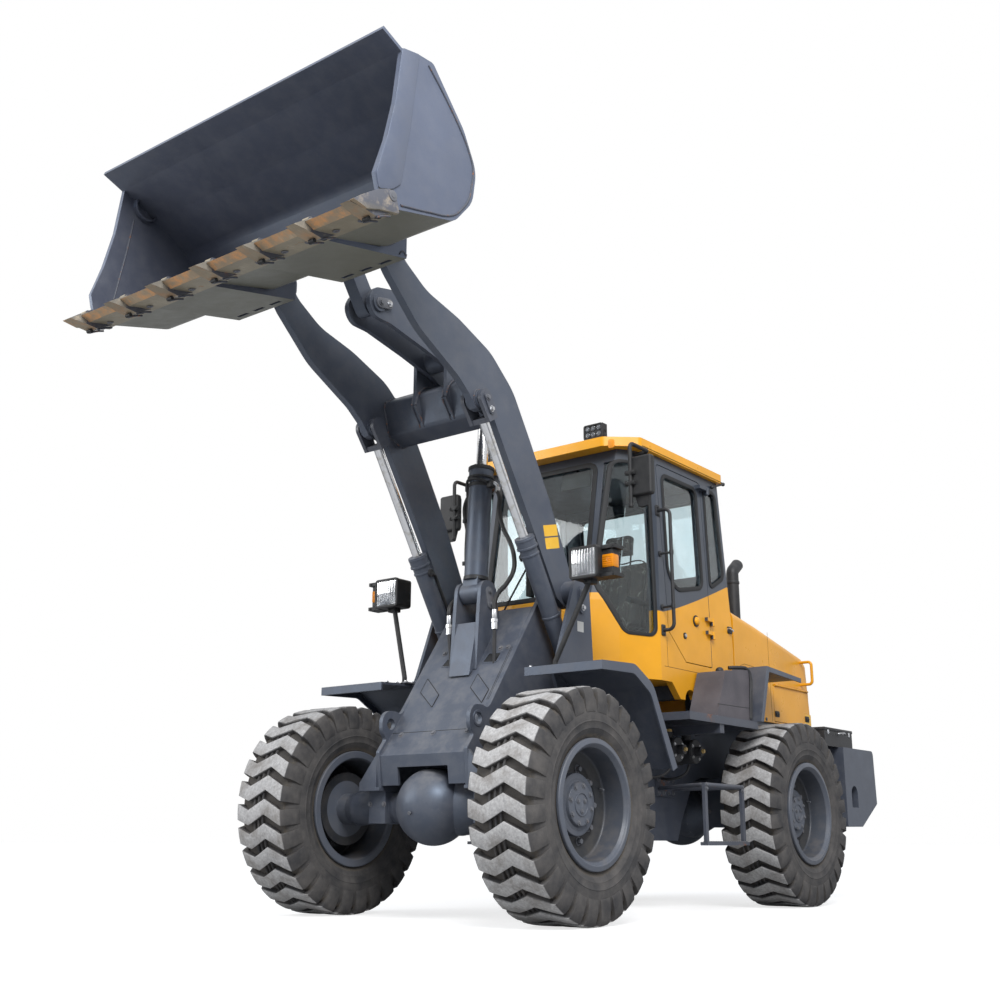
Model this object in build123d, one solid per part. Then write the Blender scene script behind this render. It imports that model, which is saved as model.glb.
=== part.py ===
"""Articulated wheel loader: X forward, Y to the machine's left, Z up, in millimetres.

The solids are laid out from the ground point under the front axle. The last lines move
them together so that the row's origin is the bottom centre of the whole machine.
"""
from build123d import *
import math
import os

# ---- driving dimensions -------------------------------------------------------------
wheelbase = 2910
track = 1890

tyre_radius = 670            # over the lugs
tyre_width = 445
groove_radius = 632          # floor of the grooves between the lugs
groove_end_radius = 523      # where the grooves run out on the sidewalls
lug_count = 28
tyre_bead_radius = 352
rim_flange_radius = 372
rim_well_radius = 318        # inner wall of the rim barrel
rim_width = 420
hub_radius = 178
brake_disc_radius = 235

hinge_x = -wheelbase / 2     # articulation pin, half way between the axles
rear_tyre_front = tyre_radius - wheelbase
hinge_pin_radius = 35
hinge_eye_radius = 95
hinge_gap = 10               # between the lugs of the two frames
hinge_levels = (560, 1310)   # lower and upper eye, middle height

front_frame_half = 360       # middle of each side plate
frame_plate = 30
rear_frame_half = 420
step_level = 1316            # top of the platforms under the doors

boom_pivot = (-700, 2073)    # X and Z
boom_tip = (1140, 3910)      # bucket pin
boom_offset = 465            # middle of each boom plate
boom_plate = 50
boom_foot_radius = 100
boom_tip_radius = 88

lift_base = (-838, 1430)
lift_eye = (262, 3185)
lift_barrel_radius = 60
lift_bore_radius = 48
lift_rod_radius = 32
lift_barrel_length = 1122    # base pin to the end of the gland

tilt_base = (-315, 2075)
tilt_eye = (-410, 3480)
tilt_barrel_radius = 80
tilt_bore_radius = 66
tilt_rod_radius = 40
tilt_barrel_length = 880

bellcrank_pivot = (90, 3620)
link_pin = (820, 3755)       # bellcrank to bucket link
bucket_top_pin = (1090, 4140)
bellcrank_half = 110         # outer face of each bellcrank plate
bellcrank_plate = 34
link_half = 45

steer_base = (-2050, 235)    # X and Y
steer_eye = (-1250, 260)
steer_level = 900
steer_barrel_radius = 45
steer_rod_radius = 22
steer_barrel_length = 570

bucket_half = 1220
bucket_skin = 22
bucket_side = 25

cab_half = 755
cab_roof_half = cab_half - 20
cab_wall = 50
cab_floor_level = 1550
cab_belt_level = 2080
cab_roof_level = 3200
cab_roof_thickness = 70
glass_thickness = 8

hood_half = cab_half - 15
hood_wall = 30
hood_floor_level = 1385

counterweight_half = 1000
tow_pin = (-4515, 26, 900)    # X, radius and lower end of the hole
engine_feet = 1000
fit = 0.3                    # running clearance of a pin in its bore


# ---- shape helpers ------------------------------------------------------------------
def outline(points, y):
    """Closed face at the given Y; each point is (x, z) or (x, z, corner radius)."""
    corners = [(p[0], y, p[1]) for p in points]
    radii = [p[2] if len(p) > 2 else 0 for p in points]
    return Face(FilletPolyline(*corners, radius=radii, close=True).wire())


def plate(points, y_from, y_to):
    """Flat plate with an XZ outline, standing between two Y planes."""
    return extrude(outline(points, y_from), amount=y_to - y_from, dir=(0, 1, 0))


def deck(points, z_from, z_to):
    """Flat plate with an XY outline, lying between two levels."""
    corners = [(p[0], p[1], z_from) for p in points]
    radii = [p[2] if len(p) > 2 else 0 for p in points]
    face = Face(FilletPolyline(*corners, radius=radii, close=True).wire())
    return extrude(face, amount=z_to - z_from, dir=(0, 0, 1))


def block(x_from, x_to, y_from, y_to, z_from, z_to):
    size = Box(x_to - x_from, y_to - y_from, z_to - z_from)
    return Pos((x_from + x_to) / 2, (y_from + y_to) / 2, (z_from + z_to) / 2) * size


def bar_y(x, z, radius, y_from, y_to):
    """Round bar or hole along Y."""
    return Pos(x, (y_from + y_to) / 2, z) * Rot(90, 0, 0) * Cylinder(radius, y_to - y_from)


def bar_z(x, y, radius, z_from, z_to):
    """Round bar or hole along Z."""
    return Pos(x, y, (z_from + z_to) / 2) * Cylinder(radius, z_to - z_from)


def turned(profile, x, y, z):
    """Solid of revolution about a Y axis through (x, y, z); profile rows are (y, radius)."""
    face = Face(FilletPolyline(*[(0, p[0], p[1]) for p in profile],
                               radius=[p[2] if len(p) > 2 else 0 for p in profile], close=True).wire())
    return Pos(x, y, z) * revolve(face, Axis.Y)


def pipe(points, radius, bend):
    """Round tube along straight runs joined by bends."""
    path = FilletPolyline(*points, radius=bend)
    start = Plane(origin=path @ 0, z_dir=path % 0)
    return sweep(start * Circle(radius), path=path.wire())


def both_sides(shape):
    """The shape and its mirror image on the other side of the machine."""
    return Compound([*shape.solids(), *mirror(shape, about=Plane.XZ).solids()])


def heading(start, end):
    """Angle of a line in degrees, and its length."""
    run, rise = end[0] - start[0], end[1] - start[1]
    return math.degrees(math.atan2(rise, run)), math.hypot(run, rise)


# ---- wheels -------------------------------------------------------------------------
lug_stations = [
    # across the tread, how far the lug's middle lies ahead there, its half width
    (-235, 14, 52), (-92, -32, 47), (48, 36, 47), (235, -50, 52),
]
lug_lag = 36                 # distance round the tread from a lug's middle to its place in the row


def lug():
    """One zigzag tread bar at the top of the tyre, with a sloped shoulder at each end."""
    half = tyre_width / 2
    right = [(half - 42, tyre_radius + 6), (half - 15, tyre_radius - 16), (half, tyre_radius - 85),
             (half - 6, groove_end_radius - 18)]
    section = right + [(-y, z) for y, z in reversed(right)]
    reach = lug_lag + 2 * lug_stations[0][2]
    bar = extrude(Face(Polyline(*[(-reach, y, z) for y, z in section], close=True).wire()),
                  amount=2 * reach, dir=(1, 0, 0))
    foot = groove_end_radius - 40
    trailing = [(-ahead - width, y, foot) for y, ahead, width in lug_stations]
    leading = [(-ahead + width, y, foot) for y, ahead, width in reversed(lug_stations)]
    zigzag = extrude(Face(Polyline(*trailing, *leading, close=True).wire()),
                     amount=tyre_radius + 20 - foot, dir=(0, 0, 1))
    return bar & zigzag & bar_y(0, 0, tyre_radius, -half, half)


def tyre():
    """Carcass with its sidewalls and beads, and the ring of lugs on it."""
    half = tyre_width / 2
    bead = rim_width / 2 - 25
    right = [(half - 36, groove_radius), (half - 18, groove_radius - 40), (half - 4, groove_end_radius),
             (half, groove_end_radius - 28), (half, 474), (half - 14, 400, 30),
             (bead, rim_flange_radius + 4), (bead, tyre_bead_radius)]
    left = [(-p[0], *p[1:]) for p in reversed(right)]
    carcass = turned(right + left, 0, 0, 0)
    bar = lug()
    lag = math.degrees(lug_lag / tyre_radius)
    return carcass + [Rot(0, lag + index * 360 / lug_count, 0) * bar for index in range(lug_count)]


def rim(side):
    """Barrel with flanges, a dished disc, the hub with its cover and the brake disc inboard."""
    half = rim_width / 2
    seat = tyre_bead_radius - 1
    profile = [(-half, rim_flange_radius, 8), (-half + 24, rim_flange_radius, 8), (-half + 24, seat),
               (half - 24, seat), (half - 24, rim_flange_radius, 8), (half, rim_flange_radius, 8),
               (half + 6, rim_well_radius + 22, 6), (half - 22, rim_well_radius),
               (62, rim_well_radius - 6, 14), (34, rim_well_radius - 70, 20), (34, hub_radius),
               (78, hub_radius, 6), (84, 128), (104, 122, 8), (108, 0),
               (-190, 0), (-190, 96), (-118, 96), (-118, brake_disc_radius), (-96, brake_disc_radius),
               (-96, 150), (0, 150), (4, rim_well_radius - 76, 20), (36, rim_well_radius - 14, 10),
               (-half + 10, rim_well_radius), (-half, rim_well_radius + 10)]
    shape = turned(profile, 0, 0, 0)
    return shape if side > 0 else mirror(shape, about=Plane.XZ)


# ---- hydraulic cylinders, built along +X from the base pin ---------------------------
def cylinder_barrel(radius, bore, rod, length, eye, eye_width, pin):
    """Closed tube with a gland at the mouth, a piston bore and an eye at its base."""
    base = eye + 14
    tube = Pos((base + length) / 2, 0, 0) * Rot(0, 90, 0) * Cylinder(radius, length - base)
    neck = Pos(base / 2 + 5, 0, 0) * Box(base + 10, eye_width * 0.8, radius * 1.5)
    gland = Pos(length - 35, 0, 0) * Rot(0, 90, 0) * Cylinder(radius + 6, 70)
    eye_ring = Rot(90, 0, 0) * Cylinder(eye, eye_width)
    hollow = Pos((eye + 30 + length - 70) / 2, 0, 0) * Rot(0, 90, 0) * Cylinder(bore, length - 100 - eye)
    mouth = Pos(length - 40, 0, 0) * Rot(0, 90, 0) * Cylinder(rod + fit, 100)
    return tube + gland + neck + eye_ring - hollow - mouth - Rot(90, 0, 0) * Cylinder(pin, eye_width + 2)


def cylinder_rod(rod, bore, inner_end, length, piston=60):
    """Rod from its piston to the given length."""
    shaft = Pos((inner_end + length) / 2, 0, 0) * Rot(0, 90, 0) * Cylinder(rod, length - inner_end)
    head = Pos(inner_end + piston / 2, 0, 0) * Rot(0, 90, 0) * Cylinder(bore - fit, piston)
    return shaft + head


def lay(shape, start, end, y):
    """Turn a shape built along +X so that it points from start to end in the XZ plane."""
    angle, _ = heading(start, end)
    return Pos(start[0], y, start[1]) * Rot(0, -angle, 0) * shape


lift_pin_radius = 30
lift_eye_radius = 68
lift_reach = heading(lift_base, lift_eye)[1]
clevis_half = 82             # outer face of each clevis cheek from the boom plate's middle
clevis_cheek = 26


def lift_barrel(side):
    barrel = cylinder_barrel(lift_barrel_radius, lift_bore_radius, lift_rod_radius,
                             lift_barrel_length, lift_eye_radius, 110, lift_pin_radius + fit)
    return lay(barrel, lift_base, lift_eye, side * boom_offset)


def lift_rod(side):
    """Rod with a fork whose cheeks straddle the boom, and a pin retainer on the outer cheek."""
    reach = lift_reach
    rod = cylinder_rod(lift_rod_radius, lift_bore_radius, lift_barrel_length - 220, reach - 120)
    crown = block(reach - 150, reach - 116, 1 - clevis_half, clevis_half - 1, -46, 46)
    cheek = plate([(reach - 149, -50), (reach, -62), (reach, 62), (reach - 149, 50)],
                  clevis_half - clevis_cheek, clevis_half)
    cheek += bar_y(reach, 0, 62, clevis_half - clevis_cheek, clevis_half)
    fork = crown + cheek + mirror(cheek, about=Plane.XZ)
    retainer = plate([(reach - 110, -24, 20), (reach + 34, -24, 20), (reach + 34, 24, 20),
                      (reach - 110, 24, 20)], clevis_half - 2, clevis_half + 10)
    fork += retainer if side > 0 else mirror(retainer, about=Plane.XZ)
    return lay(rod + fork, lift_base, lift_eye, side * boom_offset)


tilt_reach = heading(tilt_base, tilt_eye)[1]
tilt_eye_radius = 62
tilt_eye_width = 96


def tilt_barrel():
    barrel = cylinder_barrel(tilt_barrel_radius, tilt_bore_radius, tilt_rod_radius,
                             tilt_barrel_length, 72, 160, lift_pin_radius + fit)
    return lay(barrel, tilt_base, tilt_eye, 0)


def tilt_rod():
    rod = cylinder_rod(tilt_rod_radius, tilt_bore_radius, tilt_barrel_length - 300, tilt_reach - 40)
    eye_ring = Pos(tilt_reach, 0, 0) * Rot(90, 0, 0) * Cylinder(tilt_eye_radius, tilt_eye_width)
    bore = Pos(tilt_reach, 0, 0) * Rot(90, 0, 0) * Cylinder(lift_pin_radius, tilt_eye_width + 2)
    return lay(rod + eye_ring - bore, tilt_base, tilt_eye, 0)


steer_reach = heading(steer_base, steer_eye)[1]


def lay_flat(shape, start, end, z):
    """Turn a shape built along +X so that it points from start to end in the XY plane."""
    angle, _ = heading(start, end)
    return Pos(start[0], start[1], z) * Rot(0, 0, angle) * Rot(90, 0, 0) * shape


def steer_barrel(side):
    barrel = cylinder_barrel(steer_barrel_radius, steer_barrel_radius - 8, steer_rod_radius,
                             steer_barrel_length, 46, 60, 20 + fit)
    return lay_flat(barrel, (steer_base[0], side * steer_base[1]), (steer_eye[0], side * steer_eye[1]),
                    steer_level)


def steer_rod(side):
    rod = cylinder_rod(steer_rod_radius, steer_barrel_radius - 8, steer_barrel_length - 270,
                       steer_reach - 30, 40)
    eye_ring = Pos(steer_reach, 0, 0) * Rot(90, 0, 0) * Cylinder(42, 60)
    bore = Pos(steer_reach, 0, 0) * Rot(90, 0, 0) * Cylinder(24, 62)
    return lay_flat(rod + eye_ring - bore, (steer_base[0], side * steer_base[1]),
                    (steer_eye[0], side * steer_eye[1]), steer_level)


# ---- boom, bellcrank, link and bucket -----------------------------------------------
tower_outer = 588            # middle of the outer tower plate
tower_plate = 24
boom_outline = [
    # x, z, corner radius: up the back edge from the foot, round the tip, back down the front edge
    (-797, 2098, 0), (-499, 2684, 500), (-276, 3053, 900), (-90, 3345, 420), (150, 3541, 380),
    (482, 3668, 700), (790, 3742, 420), (1000, 3871, 200), (1078, 3973, 0),
    (1216, 3864, 0), (1149, 3752, 260), (852, 3480, 500), (475, 3281, 300), (371, 3200, 60),
    (300, 3115, 0), (215, 3128, 0), (122, 3112, 40), (-288, 2482, 0), (-577, 2024, 60), (-660, 1980, 0),
]
cross_tube_outline = [(165, 3385, 40), (50, 3462, 40), (-110, 3330, 60), (-125, 3180, 60), (-40, 3112, 30),
                      (108, 3165, 40)]
bracket_half = 148           # outer face of the bellcrank brackets
bracket_plate = 28
boom_boss_half = 44          # half the width of the pin bosses on each boom plate
foot_gap = 5                 # between the foot bosses and the tower plates


def boom():
    inner, outer = boom_offset - boom_plate / 2, boom_offset + boom_plate / 2
    arm = plate(boom_outline, inner, outer)
    foot = (front_frame_half + frame_plate / 2 + foot_gap, tower_outer - tower_plate / 2 - foot_gap)
    for centre, radius, low, high in ((boom_pivot, boom_foot_radius, *foot),
                                      (boom_tip, boom_tip_radius, boom_offset - 44, boom_offset + 44),
                                      (lift_eye, 74, inner - 22, outer + 22)):
        arm += bar_y(*centre, radius, inner, outer) + bar_y(*centre, radius * 0.8, low, high)
    arm -= bar_y(*boom_pivot, lift_pin_radius + 10 + fit, boom_offset - 120, boom_offset + 120)
    arm -= bar_y(*boom_tip, lift_pin_radius + 5 + fit, boom_offset - 120, boom_offset + 120)
    tube = plate(cross_tube_outline, -inner, inner)
    bracket = plate([(bellcrank_pivot[0] + 96, bellcrank_pivot[1] - 10, 80),
                     (bellcrank_pivot[0] + 96, 3290, 0), (120, 3200, 0), (0, 3260, 0),
                     (-60, 3400, 0), (bellcrank_pivot[0] - 96, bellcrank_pivot[1], 80),
                     (bellcrank_pivot[0] - 60, bellcrank_pivot[1] + 96, 80),
                     (bellcrank_pivot[0] + 80, bellcrank_pivot[1] + 96, 80)],
                    bracket_half - bracket_plate, bracket_half)
    pin = bar_y(*bellcrank_pivot, lift_pin_radius, -bracket_half, bracket_half)
    return arm + mirror(arm, about=Plane.XZ) + tube + bracket + mirror(bracket, about=Plane.XZ) + pin


def bellcrank():
    inner = bellcrank_half - bellcrank_plate
    cheek = plate([
        (link_pin[0] + 98, link_pin[1] - 10, 92), (link_pin[0] + 40, link_pin[1] + 100, 90),
        (640, 3905, 260), (330, 3880, 400), (bellcrank_pivot[0] - 60, bellcrank_pivot[1] + 130, 300),
        (tilt_eye[0] - 20, tilt_eye[1] + 76, 70), (tilt_eye[0] - 72, tilt_eye[1], 60),
        (tilt_eye[0] - 20, tilt_eye[1] - 72, 60), (-150, 3425, 200), (bellcrank_pivot[0] - 20, 3523, 60),
        (360, 3590, 400), (700, 3655, 200), (link_pin[0] + 30, link_pin[1] - 96, 90)], inner, bellcrank_half)
    hub = bar_y(*bellcrank_pivot, 78, -inner, inner)
    shape = cheek + mirror(cheek, about=Plane.XZ) + hub
    for x, z in (link_pin, tilt_eye):
        boss = bar_y(x, z, 56, inner, bellcrank_half + 14)
        shape += boss + mirror(boss, about=Plane.XZ)
    shape -= bar_y(*bellcrank_pivot, lift_pin_radius + fit, -bracket_half, bracket_half)
    return shape


def bucket_link():
    angle, length = heading(link_pin, bucket_top_pin)
    arm = plate([(-62, -62, 60), (length + 58, -58, 56), (length + 58, 58, 56), (-62, 62, 60)],
                -link_half, link_half)
    arm -= bar_y(length, 0, lift_pin_radius + fit, -100, 100)
    arm -= bar_y(0, 0, lift_pin_radius, -100, 100)
    return lay(arm, link_pin, bucket_top_pin, 0)


bucket_side_outline = [
    # x, z, corner radius: side plate from its top front corner round the back and the floor to the front edge
    (1856, 4556, 0), (1719, 4592, 0), (1600, 4603, 40), (1330, 4320, 260), (1215, 4110, 200), (1248, 3900, 200),
    (1400, 3722, 150), (1853, 3598, 0), (2012, 3559, 0), (2005, 3649, 0), (2030, 3739, 0), (1957, 3958, 300),
    (1898, 4212, 300),
]
spill_edge = (2000, 4610)    # upper edge of the spill guard
lip_edge = (2060, 3548)      # lower front edge of the floor
bucket_skin_outline = [
    # x, z, corner radius: outer face of the skin from the spill guard round the back to the lip, closed far ahead
    spill_edge, (1856, 4556, 0), (1600, 4440, 300), (1318, 4290, 120), (1215, 4110, 200), (1248, 3900, 200),
    (1400, 3722, 150), (1853, 3598, 0), lip_edge, (2400, 3464, 0), (2400, 4760, 0),
]
floor_slope = heading((1853, 3598), (1552, 3672))[0] - 180   # degrees, nose down
tooth_tip = (2190, 3510)
tooth_half = 46
tooth_tip_half = 30
tooth_count = 7
hump_half = 24               # of the adapter's leg above the lip
lug_plate = 22
heel_half = 260              # half width of each wear plate under a boom lug
heel_slots = (-150, 0, 150)


def floor_level(x):
    """Underside of the bucket's floor, carried on in a straight line behind the heel."""
    return 3598 + (x - 1853) * math.tan(math.radians(floor_slope))


def heel_plate(middle):
    """Wear plate under the floor with its two side gussets, behind one boom lug."""
    rear, front = 1240, 1868
    shape = plate([(rear, floor_level(rear) - 36), (rear - 6, floor_level(rear) - 6), (1420, floor_level(1420) + 6),
                   (front, floor_level(front) + 6), (front, floor_level(front) - 22)],
                  middle - heel_half, middle + heel_half)
    for offset_y in heel_slots:
        shape -= block(1288, 1316, middle + offset_y - 45, middle + offset_y + 45, 3600, 3800)
    for side in (-1, 1):
        y = middle + side * (heel_half - lug_plate / 2)
        shape += plate([(rear, floor_level(rear) - 10), (rear, 3880), (1300, 3900), (1460, 3720),
                        (1460, floor_level(1460) - 4)], y - lug_plate / 2, y + lug_plate / 2)
    return shape


def bucket():
    skin_face = outline(bucket_skin_outline, -bucket_half)
    inner_face = offset(skin_face, amount=-bucket_skin, kind=Kind.INTERSECTION)
    hollow = extrude(inner_face, amount=2 * bucket_half, dir=(0, 1, 0))
    skin = extrude(skin_face, amount=2 * bucket_half, dir=(0, 1, 0)) - hollow
    skin &= plate([(1000, 3300), (1000, 4800), (1922, 4800), spill_edge,
                   (spill_edge[0] + 8, spill_edge[1] - bucket_skin), (lip_edge[0], lip_edge[1] + bucket_skin),
                   (lip_edge[0], 3300)], -bucket_half, bucket_half)
    sides = plate(bucket_side_outline, bucket_half - bucket_side, bucket_half)
    shape = skin + sides + mirror(sides, about=Plane.XZ)
    for middle in (boom_offset, -boom_offset):
        shape += heel_plate(middle) - hollow
    for centre, middle, gap, radius, root in (
            (boom_tip, boom_offset, boom_boss_half + 5, 82, (150, 142)),
            (bucket_top_pin, 0, link_half + 3, 66, (240, 120))):
        x, z = centre
        lug = [(x - radius, z - radius * 0.6, radius * 0.55), (x + 20, z - radius, 20),
               (x + 140, z - radius - 20, 0), (x + 175, z + 30, 0), (x + root[0], z + root[1], 0),
               (x - radius, z + radius, radius * 0.9)]
        for low in (middle - gap - lug_plate, middle + gap):
            ear = plate(lug, low, low + lug_plate) - hollow
            shape += ear
            if middle:
                shape += mirror(ear, about=Plane.XZ)
        pin = bar_y(x, z, lift_pin_radius if not middle else lift_pin_radius + 5,
                    middle - gap - lug_plate, middle + gap + lug_plate)
        shape += pin
        if middle:
            shape += mirror(pin, about=Plane.XZ)
    return shape


def bucket_edge():
    """Cutting-edge segments under the lip and a tooth at each end and between each pair."""
    edge_x = (1880, 2125)
    skin_rise = bucket_skin / math.cos(math.radians(floor_slope)) + 1.5
    edge = plate([(edge_x[0], floor_level(edge_x[0]) - fit), (2061, floor_level(2061) - fit),
                  (2064, floor_level(2064) + 20),
                  (edge_x[1], floor_level(edge_x[1]) + 14), (2066, floor_level(2066) - 26),
                  (edge_x[0], floor_level(edge_x[0]) - 30)],
                 -bucket_half + 10, bucket_half - 10)
    shape = edge
    pitch = 2 * (bucket_half - 50) / (tooth_count - 1)
    for index in range(tooth_count):
        y = -bucket_half + 50 + index * pitch
        tooth = plate([(1905, floor_level(1905) - 29), (2010, floor_level(2010) - 62), tooth_tip,
                       (2080, floor_level(2080) + 44), (2070, floor_level(2070))],
                      y - tooth_half, y + tooth_half)
        tooth &= deck([(1900, y - tooth_half), (2085, y - tooth_half), (tooth_tip[0], y - tooth_tip_half),
                       (tooth_tip[0], y + tooth_tip_half), (2085, y + tooth_half), (1900, y + tooth_half)],
                      tooth_tip[1] - 50, tooth_tip[1] + 150)
        hump = plate([(1990, floor_level(1990) + skin_rise), (1990, floor_level(1990) + 50, 10),
                      (2080, floor_level(2080) + 60, 20), (2100, floor_level(2100) + 20),
                      (2066, floor_level(2066)), (2066, floor_level(2066) + skin_rise)],
                     y - hump_half, y + hump_half)
        shape += tooth + hump
    return shape


# ---- front half ---------------------------------------------------------------------
front_outline = [
    # x, z, corner radius: side plate from the tower's top down the slope to the nose, then the rear
    (boom_pivot[0] - 60, boom_pivot[1] + 88, 70), (boom_pivot[0] + 80, boom_pivot[1] + 88, 80),
    (-485, 1951, 200), (-11, 1285, 60), (25, 1258, 30), (60, 1275, 60), (190, 1275, 80), (190, 1140, 70),
    (150, 1090, 20), (212, 1010, 20), (190, 790, 0), (-190, 790, 0), (-260, 880, 60), (-520, 560, 120),
    (-1165, 470, 0), (-1165, 1385, 0), (-985, 1395, 60), (-910, 1530, 60), (-785, 1560, 60),
    (boom_pivot[0] - 90, boom_pivot[1], 60),
]
tower_outline = [
    (boom_pivot[0] - 96, boom_pivot[1] + 78, 70), (boom_pivot[0] + 66, boom_pivot[1] + 78, 60),
    (-405, 1570, 0), (-370, 1500, 0), (-460, 1328, 40), (-945, 1328, 70), (-945, 1520, 50),
    (boom_pivot[0] - 132, 1600, 30),
]


def front_frame():
    half, skin = front_frame_half, frame_plate / 2
    side = plate(front_outline, half - skin, half + skin) - bar_y(110, 1190, 36, half - 40, half + 40)
    outer = plate(tower_outline, tower_outer - tower_plate / 2, tower_outer + tower_plate / 2)
    tie = plate([(-940, 1332), (-800, 1332), (-800, 1354), (-918, 1354), (-918, 1500), (-940, 1500)],
                half + skin, tower_outer - tower_plate / 2)
    pins = bar_y(*boom_pivot, lift_pin_radius + 10, half + skin, tower_outer + tower_plate / 2)
    pins += bar_y(*lift_base, lift_pin_radius, half + skin, tower_outer + tower_plate / 2)
    retainer = plate([(boom_pivot[0] - 32, boom_pivot[1] + 34, 30), (boom_pivot[0] + 32, boom_pivot[1] + 34, 30),
                      (boom_pivot[0] + 28, boom_pivot[1] - 150, 26), (boom_pivot[0] - 28, boom_pivot[1] - 150, 26)],
                     tower_outer + tower_plate / 2, tower_outer + tower_plate / 2 + 14)
    half_frame = side + outer + tie + pins + retainer
    shape = half_frame + mirror(half_frame, about=Plane.XZ)

    inner = half - skin
    cover = plate([(-520, 1958), (-497, 1974), (95, 1130), (205, 985), (180, 800), (160, 800),
                   (184, 980), (76, 1116)], -inner, inner)
    arch = block(0, 400, -205, 205, 780, 910)
    shape += cover - arch
    shape += block(-1165, -1135, -inner, inner, 470, 1385)
    shape += block(-1150, -500, -inner, inner, 1000, 1025)
    shape += block(-520, -497, -inner, inner, 1025, 1958)
    for level in hinge_levels:
        lug = deck([(-1150, 270), (hinge_x, hinge_eye_radius - 12, 0), (hinge_x, -hinge_eye_radius + 12, 0),
                    (-1150, -270)], level - 25, level + 25)
        lug += bar_z(hinge_x, 0, hinge_eye_radius, level - 25, level + 25)
        shape += lug - bar_z(hinge_x, 0, hinge_pin_radius + fit, level - 30, level + 30)
    for z_low in (steer_level - 62, steer_level + 36):
        ear = deck([(-1140, 220), (-1140, 370), (steer_eye[0] - 40, steer_eye[1] + 40, 35),
                    (steer_eye[0] - 40, steer_eye[1] - 40, 35)], z_low, z_low + 26)
        shape += ear + mirror(ear, about=Plane.XZ)

    ear = plate([(tilt_base[0] - 73, tilt_base[1] + 73, 72), (tilt_base[0] + 73, tilt_base[1] + 73, 72),
                 (tilt_base[0] + 90, tilt_base[1] - 90, 60), (-190, 1540, 0), (-440, 1880, 0)], 86, 114)
    web = plate([(-250, 1860), (-228, 1860), (-150, 1500), (-190, 1540)], -86, 86)
    pin = bar_y(*tilt_base, lift_pin_radius, -114, 114)
    shape += ear + mirror(ear, about=Plane.XZ) + web + pin
    gusset = extrude(Face(Polyline((205, half + skin, 1000), (205, 520, 820), (205, 520, 790),
                                   (205, half + skin, 790), close=True).wire()), amount=-24, dir=(1, 0, 0))
    shape += gusset + mirror(gusset, about=Plane.XZ)
    foot = block(-200, 205, half - skin, 520, 770, 790)
    shape += foot + mirror(foot, about=Plane.XZ)
    return shape


ball_radius = 235            # differential
ball_offset = 75


def axle(x, bulge, foot_top):
    """Rigid axle: ball-shaped differential, tapering housings and pads under the frame."""
    half = track / 2 - 190 - fit
    body = turned([(-half, 0), (-half, 96), (-half + 70, 112, 20), (-520, 92, 20), (-330, 100, 60),
                   (-180, 175, 60), (180, 175, 60), (330, 100, 60), (520, 92, 20),
                   (half - 70, 112, 20), (half, 96), (half, 0)], x, 0, tyre_radius)
    ball = Pos(x + bulge, 0, tyre_radius) * Sphere(ball_radius)
    pad = block(x - 130, x + 130, front_frame_half, 500, tyre_radius - 100, foot_top - fit)
    return body + ball + pad + mirror(pad, about=Plane.XZ)


def front_fenders():
    inner = tower_outer + tower_plate / 2 + fit
    sheet = plate([(-60, 1484), (-62, 1500), (-430, 1516, 120), (-640, 1410, 160), (-905, 913, 0),
                   (-893, 908, 0), (-640, 1380, 150), (-430, 1498, 110)], inner, 1172)
    lip = plate([(-60, 1445), (-62, 1500), (-430, 1516, 120), (-640, 1410, 160), (-905, 913, 0),
                 (-850, 890, 0), (-610, 1350, 130), (-420, 1456, 90)], 1160, 1172)
    front = block(-74, -60, inner, 1172, 1445, 1498)
    return both_sides(sheet + lip + front)


def headlamps():
    """Lamp boxes with the turn lamp beside them, each on a tube from the fender."""
    case = block(-500, -365, 745, 960, 2080, 2285)
    case = fillet(case.edges().filter_by(Axis.X), 22)
    guard = block(-500, -395, 960, 1065, 2080, 2105) + block(-500, -395, 960, 1065, 2260, 2285)
    amber = block(-490, -410, 959, 1040, 2110, 2255)
    stalk = pipe([(-335, 640, 1513), (-335, 640, 1560), (-440, 850, 2090)], 17, 20)
    return both_sides(case + guard + amber + stalk)


# ---- rear half ----------------------------------------------------------------------
frame_front_x = hinge_x - 305
rear_arch = 940              # underside of the side plates over the rear axle
side_outline = [
    (frame_front_x, 1180, 0), (frame_front_x, 470, 0), (-2165, 470, 0), (-2230, 610, 0), (-2420, 900, 80),
    (-2560, rear_arch, 40), (-3260, rear_arch, 60), (-3420, 760, 60), (-4000, 740, 0), (-4000, 1340, 0),
    (-2600, 1340, 0), (-2520, 1260, 60), (-2380, 1210, 60),
]


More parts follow.
